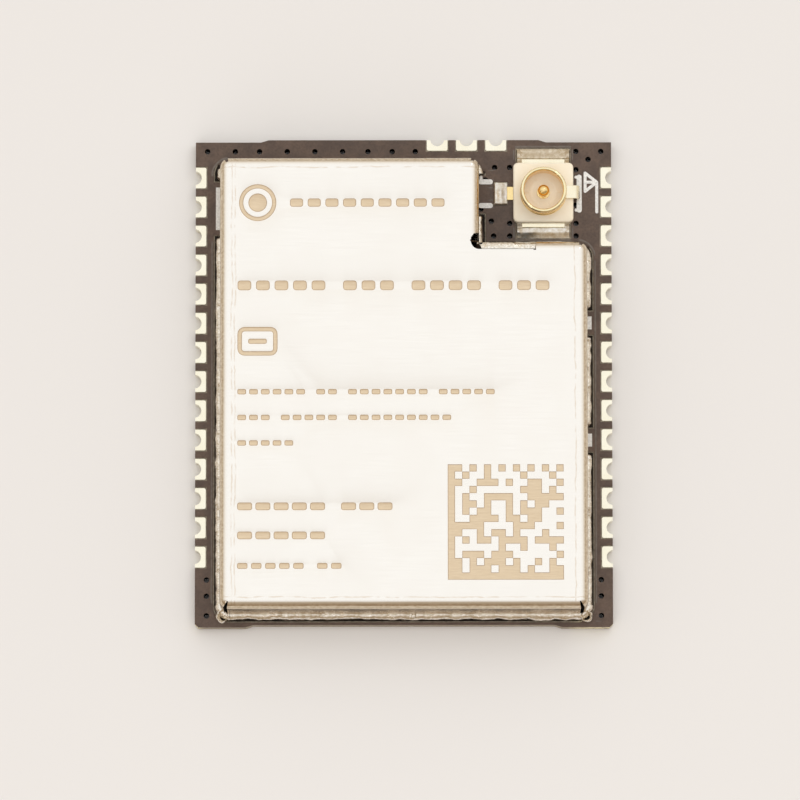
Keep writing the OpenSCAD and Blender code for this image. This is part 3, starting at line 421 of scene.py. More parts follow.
# ---- mesh helpers, in millimetres
class Form:
    """Collects vertices and faces, with a material slot and a smooth flag for each face."""

    def __init__(self):
        self.vertices, self.faces, self.slots, self.flags = [], [], [], []
        self.smooth = True

    def add(self, points):
        """Adds points and gives the number of the first one."""
        start = len(self.vertices)
        self.vertices.extend(points)
        return start

    def face(self, ids, slot=0):
        self.faces.append(ids)
        self.slots.append(slot)
        self.flags.append(self.smooth)

    def polygon(self, points, slot=0):
        """One face with points of its own."""
        start = self.add(points)
        self.face(tuple(range(start, start + len(points))), slot)

    def grid(self, rows, slot=0, closed=False, keep=None):
        """Faces over equally long rows of points. closed joins the ends of each row."""
        n = len(rows[0])
        start = self.add([p for row in rows for p in row])
        for j in range(len(rows) - 1):
            for i in range(n if closed else n - 1):
                if keep and not keep(j, i):
                    continue
                a, b = start + j * n, start + (j + 1) * n
                k = (i + 1) % n
                self.face((a + i, b + i, b + k, a + k), slot)

    def piece(self, name, materials, replaces=(), sharp=38):
        """Makes the object, in metres, and takes the place of the CAD nodes in replaces."""
        mesh = bpy.data.meshes.new(name)
        mesh.from_pydata([(x * MM, y * MM, z * MM) for x, y, z in self.vertices], [], self.faces)
        for material in materials:
            mesh.materials.append(material)
        mesh.polygons.foreach_set("material_index", self.slots)
        bm = bmesh.new()
        bm.from_mesh(mesh)
        for face, smooth in zip(bm.faces, self.flags):
            face.smooth = smooth
        bmesh.ops.remove_doubles(bm, verts=bm.verts, dist=2e-7)
        bmesh.ops.recalc_face_normals(bm, faces=bm.faces)
        bm.to_mesh(mesh)
        bm.free()
        mesh.set_sharp_from_angle(angle=math.radians(sharp))
        mesh.update()
        obj = bpy.data.objects.new(name, mesh)
        scene.collection.objects.link(obj)
        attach(obj, "root")
        if replaces:
            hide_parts(*replaces)
        return obj


def rough(x, y, z=0.0, scale=1.0, octaves=3):
    """Smooth fixed noise, about -1 to 1, at a scale in cycles per millimetre."""
    total, size = 0.0, 1.0
    for k in range(octaves):
        f = scale * 2 ** k
        total += size * perlin(Vector((x * f + 17.3, y * f - 4.1, z * f + 9.7 + k)))
        size *= 0.5
    return total


def ease(t):
    """0 to 1 with level ends, held outside them."""
    t = max(0.0, min(1.0, t))
    return t * t * (3 - 2 * t)


def arc(cx, cy, r, a0, a1, n):
    angles = [math.radians(a0 + (a1 - a0) * k / n) for k in range(n + 1)]
    return [(cx + r * math.cos(a), cy + r * math.sin(a)) for a in angles]


def line(x0, y0, x1, y1, step=0.12, whole=int):
    """Points along a line. whole turns the number of steps into a whole number."""
    n = max(2, whole(math.hypot(x1 - x0, y1 - y0) / step))
    return [(x0 + (x1 - x0) * k / n, y0 + (y1 - y0) * k / n) for k in range(n + 1)]


def rounded_box(x0, y0, x1, y1, r, n=4):
    r = min(r, (x1 - x0) / 2 - 0.004, (y1 - y0) / 2 - 0.004)
    return (arc(x1 - r, y1 - r, r, 0, 90, n) + arc(x0 + r, y1 - r, r, 90, 180, n)
            + arc(x0 + r, y0 + r, r, 180, 270, n) + arc(x1 - r, y0 + r, r, 270, 360, n))


def inset(ring, width):
    """The ring moved inwards by a width, point by point."""
    inner = []
    for k, (x, y) in enumerate(ring):
        x0, y0 = ring[k - 1]
        x2, y2 = ring[(k + 1) % len(ring)]
        q = math.hypot(x2 - x0, y2 - y0) or 1
        inner.append((x - (y2 - y0) / q * width, y + (x2 - x0) / q * width))
    return inner


def revolve(b, profile, n):
    """Turns a profile of (radius, z) about the receptacle's middle."""
    turns = [2 * math.pi * k / n for k in range(n)]
    rows = [[(AX + r * math.cos(a), AY + r * math.sin(a), z) for a in turns] for r, z in profile]
    b.grid(rows, closed=True)


def prism(b, outline, to3d, width):
    """A flat outline swept across a width, with both ends closed."""
    ends = [[to3d(p, q, s) for p, q in outline] for s in (-width / 2, width / 2)]
    b.grid(ends, closed=True)
    for end in ends:
        b.polygon(end)


def mound(b, x0, x1, y0, y1, nx, ny, height, base, slot=0):
    """A patch whose height is a function of its place, with sides down to its base."""
    rows = []
    for j in range(-1, ny + 2):
        v = min(max(j, 0), ny) / ny
        row = []
        for i in range(-1, nx + 2):
            u = min(max(i, 0), nx) / nx
            side = i < 0 or j < 0 or i > nx or j > ny
            x, y = x0 + (x1 - x0) * u, y0 + (y1 - y0) * v
            row.append((x, y, base if side else max(base, height(u, v, x, y))))
        rows.append(row)
    b.grid(rows, slot)


def bevelled(obj, width, angle=35, segments=2, slot=-1):
    """Rounds the edges sharper than an angle, in the material of a slot where one is given."""
    mod = obj.modifiers.new("edges", "BEVEL")
    mod.width = width * MM
    mod.segments = segments
    mod.limit_method = "ANGLE"
    mod.angle_limit = math.radians(angle)
    mod.material = slot


# ---- shield can
# Material slots of the can: its sheet, the sunk floors of the etched marks, their sloped edges painted
# darker as shade, and the edges of its openings painted black as shade
FACE, FLOOR, EDGE, GAP = 0, 1, 2, 3

# Where each corner's stations begin, in degrees, and the slit in it: the range of degrees into
# the corner, and the least distance out along the fold at which it opens
CORNER_START = {"bay_rear": 0, "rear": 90, "front_left": 180, "front_right": 270, "bay_side": 360}
SLITS = {
    "front_left": (59, 77, 0.09), "front_right": (13, 31, 0.09), "rear": (13, 33, 0.22),
    "bay_rear": (57, 77, 0.22), "bay_side": (57, 77, 0.22),
}
STATION_STEP = 0.16
FOLD_STEPS, WALL_STEPS, CORNER_STEPS = 14, 8, 18
# How far the fold and walls wave in and out
WAVE = 0.0035
# Length of the slope down to the front wall's fold, seen from above, and the step along the cut edge
CUT_SLOPE, CUT_STEP = 0.22, 0.12
# How far the front wall leans back at its top, and how far back from it the lean dies out
LEAN, LEAN_DEPTH = 0.085, 1.3

# Etched marks: depth, width of their sloped edges, left margin, and the rows' middles with the
# number of dashes in each group
MARK_DEPTH, MARK_SLOPE = 0.014, 0.03
MARKS_X = CX0 + 0.77
EMBLEM_Y, TITLE_Y, BOX_Y, LAST_Y = CY1 - 1.99, CY1 - 5.58, CY1 - 8.0, CY1 - 17.68
SMALL_ROWS = ((CY1 - 10.18, (6, 2, 7, 5)), (CY1 - 11.29, (3, 5, 9)), (CY1 - 12.39, (5,)))
LARGE_ROWS = ((CY1 - 15.12, (5, 3)), (CY1 - 16.37, (5,)))
# Square of cells: how many on a side, their size, the slope of their edges and its front left corner
CODE_N, CODE_CELL, CELL_SLOPE = 16, 0.31, 0.024
CODE_X, CODE_Y = CX0 + 9.78, CY1 - 18.28


def can_profile():
    """Outer and matching inner points of the fold and wall, as (out, z, inner out, inner z)."""
    inner = BEND - SHEET
    fold_z = CAN_TOP - BEND
    pts = [(0.0, CAN_TOP, 0.0, CAN_TOP - SHEET), (0.012, CAN_TOP, 0.006, CAN_TOP - SHEET)]
    for k in range(1, FOLD_STEPS + 1):
        a = math.radians(90 * k / FOLD_STEPS)
        s, c = math.sin(a), math.cos(a)
        pts.append((BEND * s, fold_z + BEND * c, inner * s, fold_z + inner * c))
    for k in range(1, WALL_STEPS + 1):
        z = fold_z + (SEAT - fold_z) * k / WALL_STEPS
        pts.append((BEND, z, inner, z))
    return pts


def can_stations():
    """Places round the can's flat top: (x, y, direction out in degrees, corner name or None)."""
    stations = []

    def straight(x0, y0, x1, y1, angle):
        stations.extend((x, y, angle, None) for x, y in line(x0, y0, x1, y1, STATION_STEP, round))

    def corner(x, y, name):
        for k in range(1, CORNER_STEPS):
            stations.append((x, y, CORNER_START[name] + 90 * k / CORNER_STEPS, name))

    side_x, front_y = BAY_X - BEND, BAY_Y - BEND
    # Finer steps beside the relief hole
    for k in range(14):
        stations.append((side_x, BAY_Y + 0.005 + 0.03 * k, 0, None))
    straight(side_x, BAY_Y + 0.42, side_x, IY1, 0)
    corner(side_x, IY1, "bay_rear")
    straight(side_x, IY1, IX0, IY1, 90)
    corner(IX0, IY1, "rear")
    straight(IX0, IY1, IX0, IY0, 180)
    corner(IX0, IY0, "front_left")
    straight(IX0, IY0, IX1, IY0, 270)
    corner(IX1, IY0, "front_right")
    straight(IX1, IY0, IX1, front_y, 360)
    corner(IX1, front_y, "bay_side")
    straight(IX1, front_y, BAY_WALL_X - 0.11, front_y, 450)
    return stations


def point_at(station, out, z):
    x, y, angle, _ = station
    a = math.radians(angle)
    return (x + math.cos(a) * out, y + math.sin(a) * out, z)


def is_cut(station, out, z):
    """True where a corner slit or the relief hole opens the fold."""
    x, y, angle, corner = station
    if corner:
        first, last, least = SLITS[corner]
        return first <= angle - CORNER_START[corner] < last and out >= least
    by_bay = angle == 0 and x > BAY_X - BEND - 0.01 and y > BAY_Y - 0.01
    return by_bay and z > CAN_TOP - BEND - 0.03 and math.hypot(x + out - BAY_X, y - BAY_Y) < RELIEF


def can_walls(b, stations):
    """Folds and walls: an outer and an inner skin, joined along the foot, the slits and the ends."""
    profile = can_profile()
    cut = [[is_cut(st, out, z) for out, z, _, _ in profile] for st in stations]
    outer, inner = [], []
    for st in stations:
        row = []
        for out, z, _, _ in profile:
            x, y, _ = point_at(st, out, z)
            wave = WAVE * rough(x, y, z, 0.9, 2) * min(1, out / 0.15)
            row.append(point_at(st, out + wave, z))
        outer.append(row)
        inner.append([point_at(st, out, z) for _, _, out, z in profile])

    def kept(j, i):
        return not (cut[j][i + 1] or cut[j + 1][i + 1])

    def join(j0, i0, j1, i1, slot):
        b.grid([[outer[j0][i0], inner[j0][i0]], [outer[j1][i1], inner[j1][i1]]], slot)

    b.grid(outer, FACE, keep=kept)
    b.grid(inner, FACE, keep=kept)
    foot = len(profile) - 1
    end = len(stations) - 1
    for j in range(end):
        if kept(j, foot - 1):
            join(j, foot, j + 1, foot, FACE)
    # Faces along the slits and the relief hole take the GAP slot, painted black as shade
    for j in range(1, end):
        for i in range(foot):
            if kept(j - 1, i) != kept(j, i):
                join(j, i, j, i + 1, GAP)
            if i and kept(j, i - 1) and not kept(j, i):
                join(j, i, j + 1, i, GAP)
    for j in (0, end):
        b.grid([outer[j], inner[j]], EDGE)


def top_outline(stations):
    """Edge of the flat top, and the part of it that is a cut edge along the bay."""
    outline = []
    for x, y, _, _ in stations:
        if not outline or math.hypot(x - outline[-1][0], y - outline[-1][1]) > 1e-5:
            outline.append((x, y))
    lip = BAY_Y - RELIEF
    slope_x = BAY_WALL_X - CUT_SLOPE
    outline += [(slope_x, BAY_Y - BEND + 0.01), (slope_x, lip)]
    cut_edge = []
    for k in range(1, int((slope_x - BAY_X - 0.08) / CUT_STEP) + 1):
        x = slope_x - k * CUT_STEP
        cut_edge.append((x, lip + 0.006 * rough(x, 3.0, 0, 2.0)))
    cut_edge += arc(BAY_X, BAY_Y, RELIEF, 276, 186, 14)
    outline += cut_edge
    return outline, outline[-len(cut_edge) - 1:]


def etched_marks():
    """Plain greeked marks: closed outlines with a sign, +1 for a trough and -1 for an island."""
    marks = []

    def solid(x0, y0, x1, y1, r):
        marks.append((rounded_box(x0, y0, x1, y1, r), 1))

    def hollow(x0, y0, x1, y1, r, w):
        solid(x0, y0, x1, y1, r)
        marks.append((rounded_box(x0 + w, y0 + w, x1 - w, y1 - w, r - w), -1))

    def dashes(x, y, height, pitch, groups, fill=0.74):
        for count in groups:
            for _ in range(count):
                solid(x, y - height / 2, x + pitch * fill, y + height / 2, height * 0.3)
                x += pitch
            x += pitch * 0.7

    for radius, points, sign in ((0.8, 48, 1), (0.62, 44, -1), (0.40, 32, 1)):
        marks.append((arc(MARKS_X + 0.86, EMBLEM_Y, radius, 0, 360, points)[:-1], sign))
    dashes(MARKS_X + 2.25, EMBLEM_Y, 0.36, 0.76, (9,))
    dashes(MARKS_X, TITLE_Y, 0.42, 0.795, (5, 3, 4, 3))
    hollow(MARKS_X, BOX_Y - 0.62, MARKS_X + 1.72, BOX_Y + 0.62, 0.3, 0.19)
    solid(MARKS_X + 0.46, BOX_Y - 0.11, MARKS_X + 1.26, BOX_Y + 0.11, 0.08)
    for y, groups in SMALL_ROWS:
        dashes(MARKS_X, y, 0.23, 0.505, groups)
    for y, groups in LARGE_ROWS:
        dashes(MARKS_X, y, 0.33, 0.78, groups, 0.82)
    dashes(MARKS_X, LAST_Y, 0.25, 0.60, (5, 2))
    return marks


def code_cell(i, j):
    """A made-up pattern of cells that carries no data: solid on two sides, mixed inside."""
    if i < 0 or j < 0 or i >= CODE_N or j >= CODE_N:
        return False
    if i == 0 or j == 0:
        return True
    if i == CODE_N - 1 or j == CODE_N - 1:
        return (i + j) % 2 == 0
    return (i * i * 7 + j * j * 5 + i * j * 3 + (i ^ j)) % 11 < 5


def code_outline():
    """Edge of the square of cells, with a point at the end of each cell."""
    side = CODE_N * CODE_CELL
    steps = [k * CODE_CELL for k in range(CODE_N)]
    return ([(CODE_X + k, CODE_Y) for k in steps]
            + [(CODE_X + side, CODE_Y + k) for k in steps]
            + [(CODE_X + side - k, CODE_Y + side) for k in steps]
            + [(CODE_X, CODE_Y + side - k) for k in steps])


def can_plate(b, outline):
    """Flat top with its etched marks, and an opening where the square of cells goes."""
    rings = [(outline, "plate", 1)]
    for ring, sign in etched_marks():
        rings.append((ring, "mark", sign))
        rings.append((inset(ring, MARK_SLOPE * sign), "floor", sign))
    rings.append((code_outline(), "code", 1))
    points, polygons, sunk = [], [], set()
    for ring, role, _ in rings:
        ids = range(len(points), len(points) + len(ring))
        polygons.append(list(ids))
        points.extend(Vector(p) for p in ring)
        if role == "floor":
            sunk.update(ids)
    spots, _, triangles, spot_from, _, held_by = delaunay_2d_cdt(points, [], polygons, 1, 1e-6, True)
    low = CAN_TOP - MARK_DEPTH
    heights = [low if sunk.intersection(ids) else CAN_TOP for ids in spot_from]
    start = b.add([(p.x, p.y, z) for p, z in zip(spots, heights)])
    for triangle, ids in zip(triangles, held_by):
        held = [rings[k][1:] for k in ids]
        if ("plate", 1) not in held or ("code", 1) in held:
            continue
        mark = sum(sign for role, sign in held if role == "mark")
        floor = sum(sign for role, sign in held if role == "floor")
        slot = FACE if mark <= 0 else (FLOOR if floor > 0 else EDGE)
        b.face(tuple(start + k for k in triangle), slot)


def code_cells(b):
    """Sunk cells with a slope along each side that meets a flat cell."""
    low = CAN_TOP - MARK_DEPTH
    for i in range(CODE_N):
        for j in range(CODE_N):
            x0, y0 = CODE_X + i * CODE_CELL, CODE_Y + j * CODE_CELL
            x1, y1 = x0 + CODE_CELL, y0 + CODE_CELL
            outer = [(x, y, CAN_TOP) for x, y in ((x0, y0), (x1, y0), (x1, y1), (x0, y1))]
            if not code_cell(i, j):
                b.polygon(outer, FACE)
                continue
            beside = ((i, j - 1), (i + 1, j), (i, j + 1), (i - 1, j))
            front, right, rear, left = slopes = [0 if code_cell(*c) else CELL_SLOPE for c in beside]
            inner = [(x0 + left, y0 + front, low), (x1 - right, y0 + front, low),
                     (x1 - right, y1 - rear, low), (x0 + left, y1 - rear, low)]
            b.polygon(inner, FLOOR)
            for k, slope in enumerate(slopes):
                if slope:
                    c = (k + 1) % 4
                    b.polygon([outer[k], outer[c], inner[c], inner[k]], EDGE)


def lean_back(p):
    """The front wall leans back a little towards its top, as sheet does when it springs back."""
    x, y, z = p
    up = (z - SEAT) / (CAN_TOP - SEAT)
    near = max(0, 1 - (y - CY0) / LEAN_DEPTH)
    return (x, y + LEAN * up * near, z)


def build_can():
    b = Form()
    stations = can_stations()
    can_walls(b, stations)
    b.smooth = False
    outline, cut_edge = top_outline(stations)
    can_plate(b, outline)
    code_cells(b)
    b.grid([[(x, y, CAN_TOP - down) for x, y in cut_edge] for down in (0, 0.03, SHEET)], FACE)
    b.polygon([(x, y, CAN_TOP - SHEET) for x, y in outline], FACE)
    b.vertices = [lean_back(p) for p in b.vertices]
    b.piece("can_shell", [CAN, ETCH, ETCH_EDGE_SHADE, HOLE_SHADE], ("shield_can",), sharp=30)


# ---- solder round the can
BEAD_FOOT = PAD_TOP - 0.004
# How far a bead is set into the wall, the points of its section and how square its round is
BEAD_SET, BEAD_POINTS, BEAD_ROUND = 0.03, 12, 0.85
BEAD_STEP, BEAD_TAPER = 0.045, 0.16
# Section of a cup, from its outer foot over the rim to the hole: (share of the way out, share of height)
CUP_SECTION = (
    (1.0, 0.0), (0.985, 0.30), (0.90, 0.62), (0.74, 0.90), (0.55, 1.0), (0.38, 0.93), (0.22, 0.74),
    (0.08, 0.45), (0.0, 0.1),
)
CUP_POINTS = 40


def bead_section(width, height):
    """Rounded section of a bead, from the wall down to the board, as (out, z)."""
    section = []
    last = BEAD_POINTS - 1
    for k in range(BEAD_POINTS):
        a = math.radians(90 * k / last)
        out = -BEAD_SET + (width + BEAD_SET) * math.sin(a) ** BEAD_ROUND
        up = height * math.cos(a) ** BEAD_ROUND if k < last else 0
        section.append((out, BEAD_FOOT + up))
    return section


def bead(b, x0, y0, x1, y1, facing, width, height, seed, ends=(True, True), lump=1.0):
    """A lumpy bead along a wall's foot. ends says where it stops in a rounded end."""
    length = math.hypot(x1 - x0, y1 - y0)
    n = max(4, int(length / BEAD_STEP))
    dx, dy = math.cos(math.radians(facing)), math.sin(math.radians(facing))
    rows = []
    for k in range(n + 1):
        t = k / n
        x, y = x0 + (x1 - x0) * t, y0 + (y1 - y0) * t
        taper = min(ease(t * length / BEAD_TAPER) if ends[0] else 1,
                    ease((1 - t) * length / BEAD_TAPER) if ends[1] else 1)
        w = width * (1 + 0.16 * lump * rough(x + seed, y, 0, 1.5, 3)) * (0.3 + 0.7 * taper)
        h = height * (1 + 0.30 * lump * rough(x, y + seed, 3, 1.2, 3)) * (0.08 + 0.92 * taper)
        row = []
        for m, (out, z) in enumerate(bead_section(w, h)):
            inside = 0 < m < BEAD_POINTS - 1
            d = 0.016 * lump * rough(x, y, z * 1.5 + seed, 3.6, 2) if inside else 0
            row.append((x + dx * (out + d), y + dy * (out + d), z + d * 0.8))
        rows.append(row)
    b.grid(rows)


def corner_bead(b, x, y, a0, width, height, seed):
    """A bead round a quarter corner of the can."""
    rows = []
    for k in range(15):
        a = math.radians(a0 + 90 * k / 14)
        c, s = math.cos(a), math.sin(a)
        px, py = x + BEND * c, y + BEND * s
        w = width * (1 + 0.12 * rough(px + seed, py, 0, 1.5, 3))
        h = height * (1 + 0.2 * rough(px, py + seed, 0, 1.5, 3))
        rows.append([(x + (BEND + out) * c, y + (BEND + out) * s, z) for out, z in bead_section(w, h)])
    b.grid(rows)


def cup(b, x, y, radius, height, hole, hole_x, hole_y, seed):
    """A cup of solder round a slit's lower end, with a hole in its middle whose floor is painted black as
    shade.
    """
    rings = []
    for way_out, up in CUP_SECTION:
        ring = []
        for k in range(CUP_POINTS):
            a = 2 * math.pi * k / CUP_POINTS
            c, s = math.cos(a), math.sin(a)
            wob = 1 + 0.10 * rough(c + seed, s, 0, 0.9, 2)
            lift = 1 + 0.22 * rough(c, s + seed, way_out * 2, 1.1, 2)
            hx, hy = hole_x + hole * wob * c, hole_y + hole * wob * s
            ox, oy = x + radius * wob * c, y + radius * wob * s
            ring.append((hx + (ox - hx) * way_out, hy + (oy - hy) * way_out, PAD_TOP + height * up * lift))
        rings.append(ring)
    b.grid(rings, closed=True)
    # The hole's walls and floor take slot 1, near-black painted shade
    floor = [(px, py, PAD_TOP + 0.02) for px, py, _ in rings[-1]]
    b.grid([rings[-1], floor], 1, closed=True)
    b.polygon(floor, 1)


def corner_lump(b, x, y, radius, height):
    """A tall lump in the bay's inner corner, which shows through the relief hole."""
    rings = []
    for q in range(8):
        out, up = math.sin(math.radians(90 * q / 7)), math.cos(math.radians(90 * q / 7))
        ring = []
        for k in range(24):
            c, s = math.cos(2 * math.pi * k / 24), math.sin(2 * math.pi * k / 24)
            wob = 1 + 0.2 * rough(c, s, 0, 1)
            ring.append((x + radius * out * c * wob, y + radius * out * s, BEAD_FOOT + height * up))
        rings.append(ring)
    b.grid(rings, closed=True)


def build_can_solder():
    b = Form()
    wide, right, high = 0.235, 0.225, 0.30
    (gap0, gap1), (gap2, gap3) = RIGHT_GAPS
    bead(b, CX0 + 0.03, IY1 + 0.34, CX0, LEFT_GAP[1] - 0.02, 180, 0.20, 0.42, 3.1, lump=0.8)
    bead(b, CX0, LEFT_GAP[0], CX0, IY0, 180, wide, high, 5.7, (True, False))
    bead(b, CX1, BAY_Y - BEND, CX1, gap1, 0, right, high, 8.3, (False, True))
    bead(b, CX1, gap0, CX1, gap3, 0, right, high, 9.9)
    bead(b, CX1, gap2, CX1, IY0, 0, right, high, 12.4, (True, False))
    bead(b, IX0, CY0, IX1, CY0, 270, 0.225, 0.28, 14.8, (False, False), 1.4)
    bead(b, IX0, CY1, BAY_X - BEND, CY1, 90, wide, high, 21.5)
    bead(b, BAY_X, BAY_Y + 0.22, BAY_X, AY - 0.9, 0, 0.21, 0.36, 23.6, (False, True), 1.2)
    bead(b, BAY_X - 0.05, BAY_Y, IX1, BAY_Y, 90, 0.31, 0.24, 27.2, (False, False), 0.6)
    corner_bead(b, IX0, IY0, 180, wide + 0.02, high, 31.0)
    corner_bead(b, IX1, IY0, 270, wide + 0.02, high, 33.0)
    corner_bead(b, IX1, BAY_Y - BEND, 0, wide, high, 35.0)
    corner_bead(b, BAY_X - BEND, IY1, 0, wide, high, 37.0)
    cup(b, CX0 + 0.06, CY0 - 0.06, 0.31, 0.34, 0.12, CX0 + 0.15, CY0 - 0.09, 1.7)
    cup(b, CX1 - 0.04, CY0 - 0.06, 0.30, 0.34, 0.115, CX1 - 0.06, CY0 - 0.09, 6.2)
    cup(b, 0.42, CY0 - 0.055, 0.13, 0.30, 0.035, 0.42, CY0 - 0.06, 9.4)
    corner_lump(b, BAY_X - 0.07, BAY_Y - 0.07, 0.21, CAN_TOP - 0.20 - PAD_TOP)
    b.piece("can_solder_beads", [SOLDER, HOLE_SHADE], ("can_solder",), sharp=60)


# ---- receptacle
# Wide ground tabs: half their width, how far they reach past the body, and their thickness
TAB_HALF, TAB_OUT, TAB_T = 0.93, 0.2, 0.12
# Signal lead, in the same way
LEAD_HALF, LEAD_OUT, LEAD_T = 0.29, 0.4, 0.08
# Solder on a tab: half its width and how far it reaches; on the lead: half its width and its reach
BANK_HALF, BANK_OUT = 1.16, 0.65
LUMP_HALF, LUMP_OUT = 0.50, 0.86
# Barrel: its radius and wall; centre contact: the radius of its ball tip
BARREL_R, BARREL_WALL = 1.0, 0.16
BARREL_TOP = contact_hi[2]
TIP_R = 0.26
# Body: points round it and the radius of its corners
BODY_POINTS, BODY_CORNER = 128, 0.2
# Steps of the body's rounded edge: (distance in from the side, distance down from the top)
BODY_EDGE = (
    (0.30, 0.0), (0.075, 0.0), (0.045, 0.008), (0.018, 0.028), (0.0, 0.07), (0.0, 0.36), (0.02, 0.4),
)
# Radius of the line moulded into the floor inside the barrel
MOULD_R = 0.57


def build_tab_banks():
    b = Form()
    for side in (1, -1):
        edge = AY + side * BODY / 2
        # The front bank stays level further out than the rear one
        level_out, fall = (TAB_OUT, 0.42) if side > 0 else (0.38, 0.26)

        def height(u, v, x, y):
            out = v * BANK_OUT
            across = abs(2 * u - 1)
            ends = ease((across - 0.78) / 0.12)
            if out < TAB_OUT and across * BANK_HALF > TAB_HALF:
                tab = 0.05 + 0.05 * ease(out / TAB_OUT)
            elif out > TAB_OUT + 0.01:
                tab = TAB_T * (1 - ease((out - level_out) / fall))
            else:
                tab = TAB_T * 0.6
            wob = 0.012 * rough(x, y, side * 2.0, 2.4, 3)
            hump = 0.09 * ends * math.exp(-((out - 0.40) / 0.17) ** 2)
            rim = ease((BANK_OUT - out) / 0.07) * ease((1 - across) / 0.03)
            return PAD_TOP + 0.012 + (0.025 + tab * (1 - 0.3 * ends) + hump + wob) * rim

        # The rear bank takes the darker painted-shade copy of the solder
        mound(b, AX - BANK_HALF, AX + BANK_HALF, edge, edge + side * BANK_OUT, 64, 26, height,
              PAD_TOP - 0.01, 1 if side > 0 else 0)
    b.piece("tab_solder_banks", [TAB_SOLDER, TAB_SOLDER_REAR_SHADED], ("ground_tab_solder",), sharp=60)


def build_lead_lump():
    b = Form()
    edge = AX - BODY / 2

    def height(u, v, x, y):
        across = abs(2 * v - 1)
        wob = 0.02 * rough(x, y, 5.0, 2.2, 3)
        rim = ease(u / 0.10) * ease((1 - u) / 0.05) * ease((1 - across) / 0.07)
        dip = 0.03 * math.exp(-((across - 0.1) / 0.25) ** 2) * math.exp(-((u - 0.45) / 0.2) ** 2)
        crown = 0.17 - 0.03 * across + 0.02 * math.sin(9 * u)
        return PAD_TOP + 0.01 + (crown - dip + wob) * rim

    mound(b, edge - LUMP_OUT, edge - LEAD_OUT + 0.16, AY - LUMP_HALF, AY + LUMP_HALF, 34, 40, height,
          PAD_TOP - 0.01)
    b.piece("lead_solder_lump", [TAB_SOLDER], ("signal_lead_solder",), sharp=60)


def build_barrel():
    """Outer contact's barrel, with its latch groove and rounded rim."""
    b = Form()
    half = BARREL_WALL / 2
    rim_z = BARREL_TOP - half
    inner = BARREL_R - BARREL_WALL
    profile = [(BARREL_R + 0.015, BODY_TOP - 0.02), (BARREL_R + 0.012, BODY_TOP + 0.02),
               (BARREL_R - 0.004, BODY_TOP + 0.045)]
    for k in range(9):
        a = math.radians(-70 + 140 * k / 8)
        profile.append((BARREL_R - 0.005 - 0.05 * math.cos(a), BODY_TOP + 0.24 + 0.19 * math.sin(a)))
    profile += [(BARREL_R, BODY_TOP + 0.45), (BARREL_R, rim_z - 0.02), (BARREL_R, rim_z)]
    profile += arc(BARREL_R - half, rim_z, half, 15, 165, 10)
    profile += [(inner, rim_z), (inner, rim_z - 0.03), (inner, BODY_TOP + 0.4), (inner, BODY_TOP - 0.02)]
    revolve(b, profile, 128)
    b.piece("receptacle_shell", [COAX_GOLD], ("coax_ground_contact",), sharp=42)


def build_strap():
    """Strap from the barrel over the body's side down to the board, and the two wide tabs."""
    b = Form()
    end = contact_hi[0] - AX
    bend_x, bend_z = end - 2 * TAB_T, BODY_TOP - SEAT - TAB_T
    start = BARREL_R - 0.06
    side = [(start, bend_z + 2 * TAB_T)] + arc(bend_x, bend_z, 2 * TAB_T, 90, 0, 9)
    side += [(end, 0.02), (end - TAB_T, 0.02)]
    side += arc(bend_x, bend_z, TAB_T, 0, 90, 6) + [(start, bend_z + TAB_T)]
    prism(b, side, lambda p, q, s: (AX + p, AY + s, SEAT + q), 2 * LEAD_HALF)
    for way in (1, -1):
        y0, y1 = AY + way * (BODY / 2 - 0.15), AY + way * (BODY / 2 + TAB_OUT)
        prism(b, [(y0, 0.0), (y1, 0.0), (y1, TAB_T), (y0, TAB_T)],
              lambda p, q, s: (AX + s, p, SEAT + q), 2 * TAB_HALF)
    bevelled(b.piece("receptacle_strap", [STRAP_GOLD], (), sharp=35), 0.018)


def build_pin():
    """Centre contact: a ball tip on its neck, a collar, and the lead that runs out."""
    b = Form()
    tip_z = BARREL_TOP - 0.1 - TIP_R
    profile = [(0.0005, tip_z + TIP_R)]
    for degrees in range(8, 129, 8):
        a = math.radians(degrees)
        profile.append((TIP_R * math.sin(a), tip_z + TIP_R * math.cos(a)))
    profile += [(0.2, tip_z - 0.21), (0.2, BODY_TOP + 0.07), (0.215, BODY_TOP + 0.045),
                (0.27, BODY_TOP + 0.04), (0.285, BODY_TOP + 0.02), (0.285, BODY_TOP - 0.01)]
    revolve(b, profile, 64)
    x0, x1 = AX - BODY / 2 - LEAD_OUT, AX - BODY / 2 + 0.1
    prism(b, [(x0, 0.0), (x1, 0.0), (x1, LEAD_T), (x0, LEAD_T)],
          lambda p, q, s: (p, AY + s, SEAT + q), 2 * LEAD_HALF)
    bevelled(b.piece("receptacle_pin", [PIN_GOLD], ("coax_signal_contact",), sharp=42), 0.012, 60)


def square_ring(inset_by, z):
    """Points round the body's rounded square, one for each direction from its middle."""
    half = BODY / 2 - inset_by
    r = max(BODY_CORNER - inset_by, 0.02)
    q = half - r
    ring = []
    for k in range(BODY_POINTS):
        a = 2 * math.pi * k / BODY_POINTS
        c, s = math.cos(a), math.sin(a)
        reach = half / max(abs(c), abs(s))
        if min(abs(reach * c), abs(reach * s)) > q:
            qx, qy = math.copysign(q, c), math.copysign(q, s)
            along = c * qx + s * qy
            reach = along + math.sqrt(max(0, along * along - (qx * qx + qy * qy) + r * r))
        ring.append((AX + reach * c, AY + reach * s, z))
    return ring


